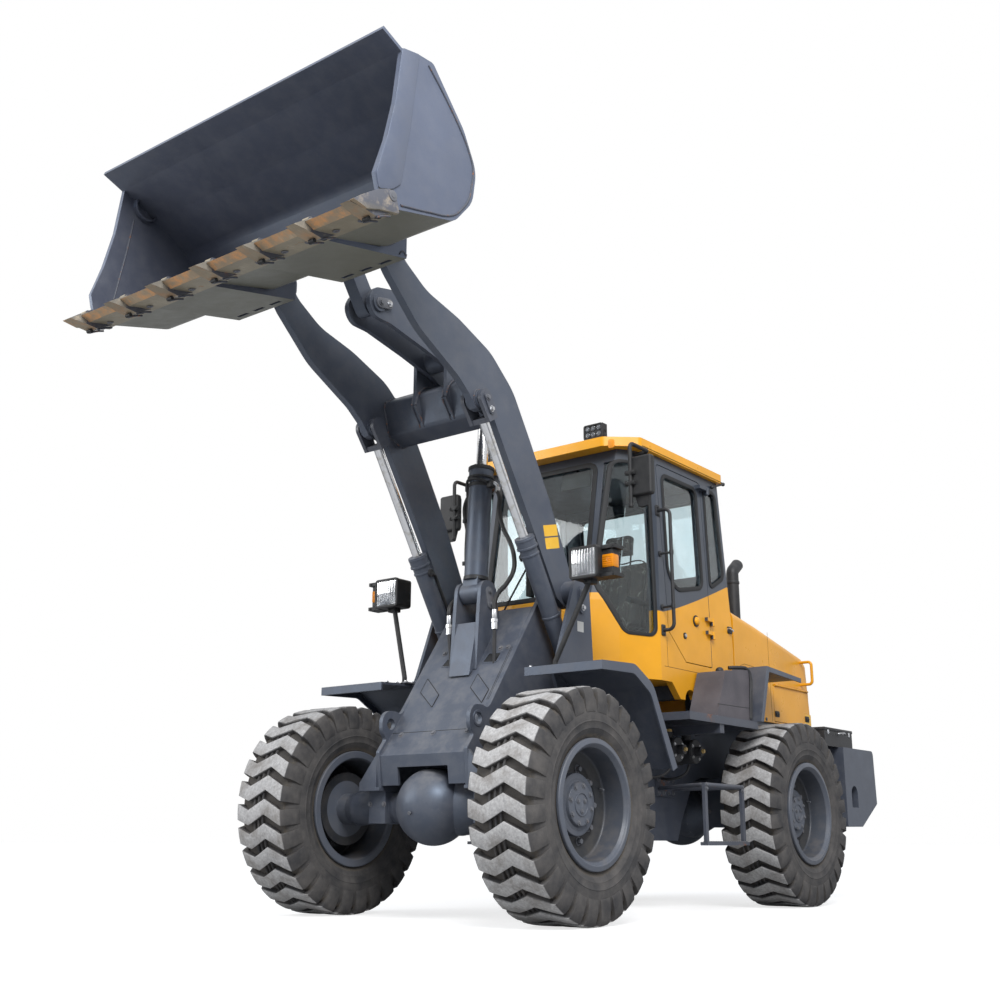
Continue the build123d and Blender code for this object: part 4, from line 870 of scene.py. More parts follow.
def addDome(bm, at, axis, radius, height, segments=20):
    # flattened half ball that stands on a surface
    made = bmesh.ops.create_uvsphere(bm, u_segments=segments, v_segments=12, radius=radius)
    squashed = axisTurn(axis) @ Matrix.Diagonal((1, 1, height / radius, 1))
    bmesh.ops.transform(bm, matrix=Matrix.Translation(at) @ squashed, verts=made["verts"])


seatSizes = {
    "cushion": {"low": (-2178, -228, 1902), "high": (-1722, 228, 2004), "lean": 0, "cap": 0.020,
                "channels": (-95, 95)},
    "back": {"low": (-2172, -222, 2034), "high": (-2086, 222, 2600), "lean": 9.5, "cap": 0.018,
             "channels": (-95, 95)},
    "headrest": {"low": (-2176, -116, 2654), "high": (-2112, 116, 2806), "lean": 9.5, "cap": 0.012,
                 "channels": ()},
    "voxel": 0.009,
    "pressure": 4.0,
}


def padMesh(size):
    # rounded slab that is a little smaller than the finished pad
    bm = bmesh.new()
    low, high = Vector(size["low"]), Vector(size["high"])
    bmesh.ops.create_cube(bm, size=1, matrix=Matrix.Translation((low + high) / 2)
                          @ Matrix.Diagonal((*(high - low), 1)))
    bmesh.ops.subdivide_edges(bm, edges=bm.edges[:], cuts=5, use_grid_fill=True)
    middlePoint, half = (low + high) / 2, (high - low) / 2
    for v in bm.verts:
        away = Vector(((v.co - middlePoint)[i] / half[i] for i in range(3)))
        # sides pull in between the corners, corners are soft
        pull = 1 - 0.05 * (1 - away.y ** 2) if abs(away.x) > 0.95 else 1
        v.co.x = middlePoint.x + (v.co.x - middlePoint.x) * pull
        v.co.y = middlePoint.y + (v.co.y - middlePoint.y) * (1 - 0.03 * (1 - away.z ** 2))
    bmesh.ops.rotate(bm, verts=bm.verts, cent=(low.x, 0, low.z),
                     matrix=Matrix.Rotation(math.radians(-size["lean"]), 3, "Y"))
    for v in bm.verts:
        v.co = spot(*v.co)
    return bm


def puff(bm, name, cap):
    # fills the cover: remesh, cloth with pressure, then no point further out than the cap
    mesh = bpy.data.meshes.new(name)
    bm.to_mesh(mesh)
    bm.free()
    holder = bpy.data.objects.new(name, mesh)
    scene = bpy.context.scene
    scene.collection.objects.link(holder)
    remesh = holder.modifiers.new("remesh", "REMESH")
    remesh.mode = "VOXEL"
    remesh.voxel_size = seatSizes["voxel"]
    graph = bpy.context.evaluated_depsgraph_get()
    even = bpy.data.meshes.new_from_object(holder.evaluated_get(graph))
    holder.modifiers.clear()
    holder.data = even
    rest = [v.co.copy() for v in even.vertices]
    cloth = holder.modifiers.new("cloth", "CLOTH")
    cloth.settings.use_pressure = True
    cloth.settings.uniform_pressure_force = seatSizes["pressure"]
    cloth.settings.effector_weights.gravity = 0
    for number in range(1, 17):
        scene.frame_set(number)
    graph = bpy.context.evaluated_depsgraph_get()
    filled = bpy.data.meshes.new_from_object(holder.evaluated_get(graph))
    scene.frame_set(1)
    for v, start in zip(filled.vertices, rest):
        move = v.co - start
        if move.length > cap:
            v.co = start + move.normalized() * cap
    soft = bmesh.new()
    soft.from_mesh(filled)
    bpy.data.objects.remove(holder)
    for used in (filled, even, mesh):
        bpy.data.meshes.remove(used)
    bmesh.ops.smooth_vert(soft, verts=soft.verts, factor=0.5, use_axis_x=True, use_axis_y=True,
                          use_axis_z=True)
    return soft


def makeSeat():
    for part in ("cushion", "back", "headrest"):
        size = seatSizes[part]
        soft = puff(padMesh(size), part, size["cap"])
        # sewn channels: the cover is drawn in along their lines
        facing = Vector((0, 0, 1)) if part == "cushion" else Vector((1, 0, 0.16))
        for v in soft.verts:
            for channel in size["channels"]:
                near = abs(v.co.y - channel / 1000) / 0.016
                if near < 1 and v.normal.dot(facing) > 0.5:
                    v.co -= facing * 0.011 * (1 - near) ** 1.5
        piece = newPiece("seat_" + part, soft, seatCover, "rear_half", sharpAngle=180)
        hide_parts("seat")
        # piped seam round the pad's front or top edge
        seam = bmesh.new()
        low, high = size["low"], size["high"]
        turn = Matrix.Rotation(math.radians(-size["lean"]), 3, "Y")
        base = Vector((low[0], 0, low[2]))
        if part == "cushion":
            loop = [(low[0] + 6, low[1] + 6), (high[0] - 6, low[1] + 6), (high[0] - 6, high[1] - 6),
                    (low[0] + 6, high[1] - 6)]
            corners = [Vector((x, y, high[2] - 4)) for x, y in loop]
        else:
            loop = [(low[1] + 6, low[2] + 6), (high[1] - 6, low[2] + 6), (high[1] - 6, high[2] - 6),
                    (low[1] + 6, high[2] - 6)]
            corners = [base + turn @ (Vector((high[0] - 4, y, z)) - base) for y, z in loop]
        points = []
        for start, end in zip(corners, corners[1:] + corners[:1]):
            points += [start.lerp(end, 0.06), start.lerp(end, 0.5), start.lerp(end, 0.94)]
        addTube(seam, [spot(*p) for p in points + points[:1]], 0.006, 8, 8)
        welt = newPiece(f"seat_{part}_piping", seam, seatPiping, "rear_half")
        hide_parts("seat")

    bm = bmesh.new()
    addBlock(bm, spot(-2130, -190, 1612), spot(-1790, 190, 1640), 0.004)
    addBlock(bm, spot(-2150, -205, 1846), spot(-1770, 205, 1896), 0.010)
    # bellows of the sprung base: folds that stand in and out
    for level in range(1645, 1840, 24):
        addBlock(bm, spot(-2110, -176, level), spot(-1812, 176, level + 12), 0.004)
        addBlock(bm, spot(-2094, -160, level + 12), spot(-1828, 160, level + 24), 0.002)
    for y in (-50, 50):
        addRound(bm, spot(-2222, y, 2596), spot(-2236, y, 2676), 0.007)
    for side in (-1, 1):
        addTube(bm, [spot(-2160, side * 250, 2230), spot(-2060, side * 262, 2236),
                     spot(-1900, side * 262, 2240), spot(-1850, side * 255, 2236)], 0.024)
    piece = newPiece("seatBase", bm, blackPlastic, "rear_half")
    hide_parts("seat")
    print("seat ready")


cabFittings = {
    "doorWindow": [(-1578, 3070), (-1600, 2340), (-1720, 2230), (-2105, 2310), (-2080, 3070)],
    "quarterWindow": [(-2215, 3100), (-2235, 2330), (-2450, 2440), (-2385, 3100)],
    "cornerWindow": [(-1015, 2195), (-1150, 1860), (-1420, 1860), (-1420, 3110), (-1150, 3110)],
    "screen": (-430, 430, 2135, 3110),
    "rearWindow": (-560, 560, 2480, 3080),
}


def makeGaskets():
    bm = bmesh.new()
    for side in (1, -1):
        addBand(bm, cabFittings["quarterWindow"], onSide(side), radius=45, outside=20)
        addBand(bm, cabFittings["cornerWindow"], onSide(side), radius=55, outside=14)
    addBand(bm, rectangle(*cabFittings["screen"]), onFront, radius=70, outside=24, inside=16)
    addBand(bm, rectangle(*cabFittings["rearWindow"]), onRear, radius=60)
    newPiece("cabGaskets", bm, blackRubber, "rear_half")
    for side, name in ((1, "left"), (-1, "right")):
        bm = bmesh.new()
        addBand(bm, cabFittings["doorWindow"], onSide(side), radius=60, outside=20)
        newPiece(f"doorGasket_{name}", bm, blackRubber, f"cab_door_{name}")
    print("gaskets ready")


def makeCabTrim():
    for side, name in ((1, "left"), (-1, "right")):
        wall = onSide(side)
        # lock, pull knob and latch on the door
        bm, knob, lock = bmesh.new(), bmesh.new(), bmesh.new()
        addRound(bm, wall(-1978, 2036, 0), wall(-1978, 2036, 7), 0.043, segments=32, bevel=0.002)
        addRound(knob, wall(-1978, 2036, 6), wall(-1978, 2036, 14), 0.031, 0.030, segments=28, bevel=0.002)
        addDome(knob, wall(-1978, 2036, 14), (0, side, 0), 0.029, 0.014)
        addPad(bm, rectangle(-1830, -1786, 1882, 1928), wall, radius=18, high=5)
        addRound(lock, wall(-1808, 1905, 4), wall(-1808, 1905, 12), 0.014, segments=20, bevel=0.002)
        newPiece(f"doorPlates_{name}", bm, blackPlastic, f"cab_door_{name}")
        newPiece(f"doorKnob_{name}", knob, yellowPaint, f"cab_door_{name}")
        newPiece(f"doorLock_{name}", lock, zincSteel, f"cab_door_{name}")

        bm = bmesh.new()
        addPad(bm, rectangle(-2540, -2470, 2010, 2062), wall, radius=10, high=9)
        for x, z in ((-1492, 2780), (-1500, 1905)):
            addPad(bm, rectangle(x - 26, x + 26, z - 40, z + 40), wall, radius=10, high=8, bevel=2)
            for dz in (-26, 26):
                addBolt(bm, wall(x, z + dz, 8), (0, side, 0), 0.014, 0.007)
        for z in (2458, 2069):
            low, high = wall(-1496, z, -2), spot(-1496, side * 845, z)
            addRound(bm, low, high, 0.009, segments=16)
            addRound(bm, wall(-1496, z, -1), wall(-1496, z, 9), 0.022, segments=24, bevel=0.002)
            addRound(bm, spot(-1496, side * 845, z - 16), spot(-1496, side * 845, z + 16), 0.0165,
                     segments=16)
        # stay with ball ends at the rear pillar
        addRound(bm, spot(-2334, side * 752, 3148), spot(-2500, side * 762, 3206), 0.008)
        for x, y, z in ((-2334, 752, 3148), (-2500, 762, 3206)):
            addDome(bm, spot(x, side * y, z), (0, side, 0), 0.016, 0.016)
            addRound(bm, spot(x, side * 730, z), spot(x, side * y, z), 0.007)
        # drip rail along the roof's side and a tab at its front corner
        addBlock(bm, spot(-2470, side * 765 - 5, 3205), spot(-1260, side * 765 + 5, 3216), 0.002)
        newPiece(f"cabTrim_{name}", bm, blackSteel, "rear_half")

        bm = bmesh.new()
        face = flatPlace((-1058, side * 640, 3196), (0, 1, 0), (0, 0, 1))
        addPad(bm, rectangle(-24, 24, -30, 34), face, radius=12, high=10, bevel=2)
        newPiece(f"roofTab_{name}", bm, amberPlastic, "rear_half")

    # yellow panel under the windscreen
    bm = bmesh.new()
    addPad(bm, rectangle(-462, 462, 1700, 2112), onFront, radius=12, low=-2, high=9, bevel=4)
    newPiece("frontPanel", bm, yellowPaint, "rear_half")

    # blind across the windscreen's top, wiper and inside mirror
    bm = bmesh.new()
    addPad(bm, rectangle(110, 370, 2960, 3090), lambda y, z, out: onFront(y, z, out - 40), radius=12, low=-6,
           high=-1)
    addRound(bm, spot(-1215, 240, 3090), spot(-1215, 240, 3150), 0.008)
    newPiece("sunBlind", bm, blackPlastic, "rear_half")

    bm = bmesh.new()
    addRound(bm, onFront(-250, 2060, 8), onFront(-250, 2060, 40), 0.026, 0.02, segments=20, bevel=0.003)
    addTube(bm, [onFront(-250, 2060, 36), onFront(-214, 2120, 38), onFront(-120, 2300, 34),
                 onFront(-60, 2420, 26)],
            0.007)
    addBlock(bm, onFront(-74, 2165, 12), onFront(-54, 2790, 12) + Vector((0.03, 0, 0)), 0.003)
    newPiece("wiper", bm, blackPlastic, "rear_half")
    print("cab trim ready")


lampSizes = {"front": (-365, 745, 960, 2080, 2285), "roof": (-1090, 385, 545, 3278, 3388)}


def fluted(bm, place, u0, u1, v0, v1, flutes, bulge, base):
    # lamp lens or reflector: a grid that bulges and carries upright flutes
    made = bmesh.ops.create_grid(bm, x_segments=flutes * 4, y_segments=16, size=1)
    for v in made["verts"]:
        a, b = v.co.x, v.co.y
        out = base + bulge * (1 - a * a) * (1 - b * b) + 0.8 * math.cos(a * flutes * math.pi)
        v.co = place((u0 + u1) / 2 + a * (u1 - u0) / 2, (v0 + v1) / 2 + b * (v1 - v0) / 2, out)


def makeHeadlamps():
    x, y0, y1, z0, z1 = lampSizes["front"]
    for side, name in ((1, "left"), (-1, "right")):
        face = flatPlace((x, 0, 0), (0, side, 0), (0, 0, 1))
        if side < 0:
            face = lambda u, v, out: spot(x + out, -u, v)
        bm = bmesh.new()
        addBand(bm, rectangle(y0, y1, z0, z1), face, radius=24, outside=3, inside=17, low=-8, high=16,
                bevel=5)
        # fins on the back, cap for the bulb, foot clamp and its bolts
        for z in range(2110, 2270, 24):
            addBlock(bm, spot(-512, side * 852 - 80, z), spot(-494, side * 852 + 80, z + 8), 0.002)
        addRound(bm, spot(-540, side * 852, 2182), spot(-496, side * 852, 2182), 0.05, 0.055, segments=28,
                 bevel=0.003)
        addBlock(bm, spot(-470, side * 850 - 36, 2052), spot(-410, side * 850 + 36, 2084), 0.004)
        for dy in (-24, 24):
            addBolt(bm, spot(-409, side * 850 + dy, 2067), (1, 0, 0), 0.014, 0.008)
        for z in (2080, 2262):
            addBolt(bm, spot(-396, side * 1045, z + 12), (1, 0, 0), 0.013, 0.007)
        newPiece(f"headlampBezel_{name}", bm, blackPlastic, "front_half")

        bm = bmesh.new()
        fluted(bm, face, y0 + 14, y1 - 14, z0 + 14, z1 - 14, 9, -7, 9)
        newPiece(f"headlampReflector_{name}", bm, lampChrome, "front_half")
        bm = bmesh.new()
        fluted(bm, face, y0 + 12, y1 - 12, z0 + 12, z1 - 12, 9, 9, 12)
        bmesh.ops.solidify(bm, geom=bm.faces[:], thickness=0.002)
        newPiece(f"headlampLens_{name}", bm, lampLens, "front_half")

        bm = bmesh.new()
        addBlock(bm, spot(-478, side * 1001 - 40, 2140), spot(-402, side * 1001 + 44, 2226), 0.009)
        for z in range(2150, 2218, 14):
            addBlock(bm, spot(-406, side * 1001 - 32, z), spot(-399, side * 1001 + 36, z + 6), 0.002)
        newPiece(f"turnLamp_{name}", bm, amberLens, "front_half")
    print("headlamps ready")


def makeRoofLamps():
    x, y0, y1, z0, z1 = lampSizes["roof"]
    for side, name in ((1, "left"), (-1, "right")):
        face = lambda u, v, out: spot(x + out, side * u, v)
        bm = bmesh.new()
        addBand(bm, rectangle(y0, y1, z0, z1), face, radius=16, outside=2, inside=11, low=-8, high=8, bevel=3)
        for y in range(y0 + 10, y1 - 8, 17):
            addBlock(bm, spot(-1166, side * y - 2.5, z0 + 8), spot(-1148, side * y + 2.5, z1 - 8), 0.001)
        # hanging bracket and its bolt
        for y in (y0 - 7, y1 + 1):
            addBlock(bm, spot(-1132, side * y - 3, z0 - 10),
                     spot(-1108, side * y + 3, (z0 + z1) / 2 + 12), 0.001)
            addBolt(bm, spot(-1120, side * y, (z0 + z1) / 2), (0, side if y > 460 else -side, 0), 0.014,
                    0.009)
        newPiece(f"roofLampCase_{name}", bm, blackPlastic, "rear_half")
        bm = bmesh.new()
        for y in (417, 465, 513):
            for z in (3309, 3357):
                addRound(bm, spot(x - 2, side * y, z), spot(x + 3, side * y, z), 0.021, 0.021, segments=24)
        newPiece(f"roofLampReflector_{name}", bm, lampChrome, "rear_half")
        bm = bmesh.new()
        for y in (417, 465, 513):
            for z in (3309, 3357):
                addDome(bm, spot(x + 3, side * y, z), (1, 0, 0), 0.020, 0.008, 16)
        newPiece(f"roofLampLens_{name}", bm, lampLens, "rear_half")
    print("roof lamps ready")


def makeMirrors():
    for side, name in ((1, "left"), (-1, "right")):
        back = lambda u, v, out: spot(-1110 - out, side * u, v)
        bm = bmesh.new()
        addBand(bm, rectangle(796, 944, 2796, 3054), back, radius=22, outside=8, inside=8, low=-4, high=5,
                bevel=2)
        # two clamps on the tube with their bolts
        for z in (2872, 2948):
            addBlock(bm, spot(-1052, side * 800 - 38, z - 15), spot(-1024, side * 800 + 38, z + 15), 0.004)
            for dy in (-27, 27):
                addBolt(bm, spot(-1024, side * 800 + dy, z), (1, 0, 0), 0.014, 0.008)
        addRound(bm, spot(-1040, side * 800, 2700), spot(-1040, side * 800, 2722), 0.017, segments=20,
                 bevel=0.002)
        addPad(bm, [(806, 2802), (934, 2802), (904, 2704), (836, 2704)], back, radius=12, low=-32, high=-2,
               bevel=6)
        newPiece(f"mirrorFrame_{name}", bm, blackPlastic, "rear_half")
        bm = bmesh.new()
        addPad(bm, rectangle(798, 942, 2798, 3052), back, radius=20, low=-2, high=1, bevel=0)
        newPiece(f"mirrorGlass_{name}", bm, mirrorGlass, "rear_half")
    print("mirrors ready")


def pinPlate(dark, bright, pin, second, y, side, half=34, thick=12, bolt=0.034):
    # slot-shaped plate that keeps a pin in, with one dark and one bright bolt
    u = Vector((second[0] - pin[0], 0, second[1] - pin[1]))
    outward = Vector((0, side, 0))
    place = flatPlace((pin[0], side * y, pin[1]), u, outward.cross(u))
    addPad(dark, rectangle(-half, u.length + half, -half, half), place, radius=half * 0.95, low=-1,
           high=thick, bevel=2)
    for at, target in ((0, dark), (u.length, bright)):
        addRound(target, place(at, 0, thick - 1), place(at, 0, thick + 4), bolt * 0.62, segments=20)
        addBolt(target, place(at, 0, thick + 3), outward, bolt * 0.8, 0.013, washer=False)


boomTrim = {
    "tube": [(165, 3385), (50, 3462), (-110, 3330), (-125, 3180), (-40, 3112), (108, 3165)],
    "innerFace": 438,
    "bead": 0.008,
    "decal": [(-423, 2493), (-577, 2531), (-610, 2373), (-458, 2336)],
}


def addBead(bm, points, radius):
    # weld bead: a rough round seam along a line
    addTube(bm, points, radius, 8, 8, ends=True)


def makeBoomTrim():
    welds, dark, bright = bmesh.new(), bmesh.new(), bmesh.new()
    loop = boomTrim["tube"]
    for side in (1, -1):
        y = side * boomTrim["innerFace"]
        points = []
        for start, end in zip(loop, loop[1:] + loop[:1]):
            for t in (0.12, 0.5, 0.88):
                points.append(spot(start[0] + (end[0] - start[0]) * t, y, start[1] + (end[1] - start[1]) * t))
        addBead(welds, points + points[:1], boomTrim["bead"])
        for y in (side * 151, side * 117):
            addBead(welds, [spot(196, y, 3300), spot(166, y, 3384), spot(52, y, 3464), spot(-60, y, 3404)],
                    0.007)
            addBead(welds, [spot(196, y, 3292), spot(122, y, 3198), spot(104, y, 3168)], 0.006)
        # bosses of the lift eyes and the bucket pins are welded on
        for (x, z), radius, y in (((262, 3185), 62, side * 492), ((1140, 3910), 72, side * 492)):
            ring = [spot(x + radius * math.cos(a), y, z + radius * math.sin(a)) for a in
                    (math.tau * i / 10 for i in range(10))]
            addBead(welds, ring + ring[:1], 0.004)
        # grease nipples and a hose clip on the arm's inner face
        for x, z in ((-760, 2180), (180, 3250)):
            addRound(bright, spot(x, side * 492, z), spot(x, side * 502, z), 0.008, 0.006, segments=12)
        pinPlate(dark, bright, (90, 3620), (24, 3660), 148, side, 30, 10, 0.030)
    newPiece("boomWelds", welds, weldBead, "boom")
    newPiece("boomPinPlates", dark, boltSteel, "boom")
    newPiece("boomBrightBolts", bright, zincSteel, "boom")

    bm = bmesh.new()
    for side in (1, -1):
        corners = boomTrim["decal"]
        for low, high in ((0.0, 0.47), (0.53, 1.0)):
            a, b, c, d = [Vector((x, 0, z)) for x, z in corners]
            quad = [a.lerp(d, low), b.lerp(c, low), b.lerp(c, high), a.lerp(d, high)]
            place = lambda x, z, out: spot(x, side * (490 + out), z)
            addPad(bm, [(p.x, p.z) for p in quad], place, radius=5, low=-0.5, high=0.7, bevel=0)
    newPiece("boomLabels", bm, decalYellow, "boom")

    dark, bright, welds = bmesh.new(), bmesh.new(), bmesh.new()
    for side in (1, -1):
        pinPlate(dark, bright, (820, 3755), (742, 3772), 124, side, 34, 10)
        pinPlate(dark, bright, (-410, 3480), (-334, 3512), 124, side, 32, 10)
        addBead(welds, [spot(120, side * 78, 3700), spot(400, side * 74, 3790), spot(650, side * 74, 3800)],
                0.005)
    newPiece("bellcrankPinPlates", dark, boltSteel, "bellcrank")
    newPiece("bellcrankBrightBolts", bright, zincSteel, "bellcrank")
    newPiece("bellcrankWelds", welds, weldBead, "bellcrank")

    for side, name in ((1, "left"), (-1, "right")):
        dark, bright = bmesh.new(), bmesh.new()
        for along, target in ((0, dark), (-78, bright)):
            at = spot(262 + 0.5311 * along, side * 557, 3185 + 0.8473 * along)
            addRound(target, at, at + Vector((0, side * 0.004, 0)), 0.021, segments=20)
            addBolt(target, at + Vector((0, side * 0.003, 0)), (0, side, 0), 0.028, 0.013, washer=False)
        newPiece(f"liftEyeBolt_{name}", dark, boltSteel, f"lift_rod_{name}")
        newPiece(f"liftEyeBrightBolt_{name}", bright, zincSteel, f"lift_rod_{name}")
    print("boom trim ready")


cylinderTrim = {
    "hoseRadius": 0.0155,
    "hoseRight": [(-392, 128, 2788), (-385, 152, 2735), (-370, 160, 2640), (-350, 212, 2500),
                  (-330, 286, 2385),
                  (-310, 332, 2280), (-290, 342, 2180), (-265, 300, 2090), (-240, 252, 2030),
                  (-226, 238, 1975), (-224, 238, 1922)],
    "hoseLeft": [(-392, -128, 2788), (-392, -154, 2738), (-385, -156, 2680), (-396, -140, 2560),
                 (-410, -120, 2440),
                 (-424, -112, 2300), (-412, -124, 2180), (-340, -160, 2075), (-262, -160, 2010),
                 (-226, -150, 1962), (-225, -148, 1916)],
}


def makeCylinderTrim():
    # tilt cylinder: gland with its ring of screws, wiper cap, ports, steel pipe and clamp
    lean = Vector((-95, 0, 1405)).normalized()
    base = Vector((-315, 0, 2075))

    def onAxis(along):
        return base + lean * along
    cap, steel, dark = bmesh.new(), bmesh.new(), bmesh.new()
    addRing(cap, spot(*onAxis(868)), spot(*onAxis(894)), 0.042, 0.092)
    addRing(cap, spot(*onAxis(806)), spot(*onAxis(822)), 0.078, 0.094)
    for index in range(8):
        angle = math.tau * index / 8
        side = Vector((math.cos(angle) * lean.z, math.sin(angle), -math.cos(angle) * lean.x)) * 68
        addBolt(dark, spot(*(onAxis(894) + side)), lean, 0.016, 0.010)
    for along in (96, 760):
        addRing(cap, spot(*onAxis(along - 14)), spot(*onAxis(along + 14)), 0.074, 0.084)
    for side in (1, -1):
        # port block, elbow and nut of each hose's upper end
        addBlock(dark, spot(*(onAxis(760) + Vector((-30, side * 90 - 26, -24)))),
                 spot(*(onAxis(760) + Vector((30, side * 90 + 26, 24)))), 0.004)
        addTube(steel, [spot(-368, side * 92, 2838), spot(-372, side * 118, 2838),
                        spot(-388, side * 128, 2816), spot(-392, side * 128, 2788)], 0.013, 8, 12)
        addRound(steel, spot(-392, side * 128, 2812), spot(-392, side * 128, 2776), 0.019, segments=6)
    addTube(dark, [spot(-338, -94, 2230), spot(-340, -104, 2330), spot(-352, -106, 2560),
                   spot(-362, -104, 2740),
                   spot(-330, -88, 2838), spot(-284, -40, 2868), spot(-284, 30, 2868), spot(-330, 84, 2846)],
                   0.011)
    for z in (2300, 2600):
        addRound(dark, spot(-344, -120, z - 12), spot(-344, -120, z + 12), 0.016, segments=12)
    newPiece("tiltGland", cap, blackSteel, "tilt_barrel")
    newPiece("tiltPipe", dark, blackSteel, "tilt_barrel")
    newPiece("tiltElbows", steel, zincSteel, "tilt_barrel")

    for name in ("hoseRight", "hoseLeft"):
        bm = bmesh.new()
        addTube(bm, [spot(*p) for p in cylinderTrim[name]], cylinderTrim["hoseRadius"], 14, 16)
        hose = newPiece(name, bm, hoseRubber, None)
        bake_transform(hose)

    # lift cylinders: gland rings, hose block with four screws, pipe to the base, base clamps
    run = Vector((1100, 0, 1755)).normalized()
    normal = Vector((run.z, 0, -run.x))
    for side, name in ((1, "left"), (-1, "right")):
        cap, dark = bmesh.new(), bmesh.new()

        def at(along, up=0, across=0):
            return spot(*(Vector((-838, side * 465, 1430)) + run * along + normal * up
                          + Vector((0, side * across, 0))))
        for along, outer in ((1107, 68), (1053, 72), (148, 66), (1000, 65), (560, 65), (240, 65)):
            addRing(cap, at(along - 8), at(along + 8), 0.056, outer / 1000)
        # the pipe lies behind the barrel's inner side, clear of the cover's ears
        inward = at(0, 0, -1) - at(0)
        addTube(dark, [at(985, 0, -64), at(965, -22, -70), at(925, -50, -54), at(860, -54, -50),
                       at(500, -54, -50), at(260, -52, -50), at(200, -40, -40)], 0.011)
        addRound(dark, at(985, 0, -58), at(985, 0, -77), 0.026, segments=24, bevel=0.003)
        for a, b in ((-14, -14), (-14, 14), (14, -14), (14, 14)):
            addBolt(dark, at(985 + a, b, -76), inward, 0.010, 0.004, washer=False)
        newPiece(f"liftGland_{name}", cap, darkPaint, f"lift_barrel_{name}")
        newPiece(f"liftPipe_{name}", dark, blackSteel, f"lift_barrel_{name}")
    print("cylinder trim ready")


coverTrim = {
    "bolts": [(-240, 356), (-112, 360), (29, 358), (238, 360), (300, 358), (-262, 1046), (10, 1046),
              (284, 1046)],
    "stampings": [[(-281, 694), (-279, 573), (-105, 726), (-112, 831)],
                  [(140, 689), (147, 572), (304, 718), (295, 826)]],
    "slots": [[(-206, 475), (-78, 489), (-73, 428), (-183, 415)],
              [(142, 473), (254, 481), (260, 405), (160, 402)]],
    "pipes": [(-132, -148), (235, 238)],
}


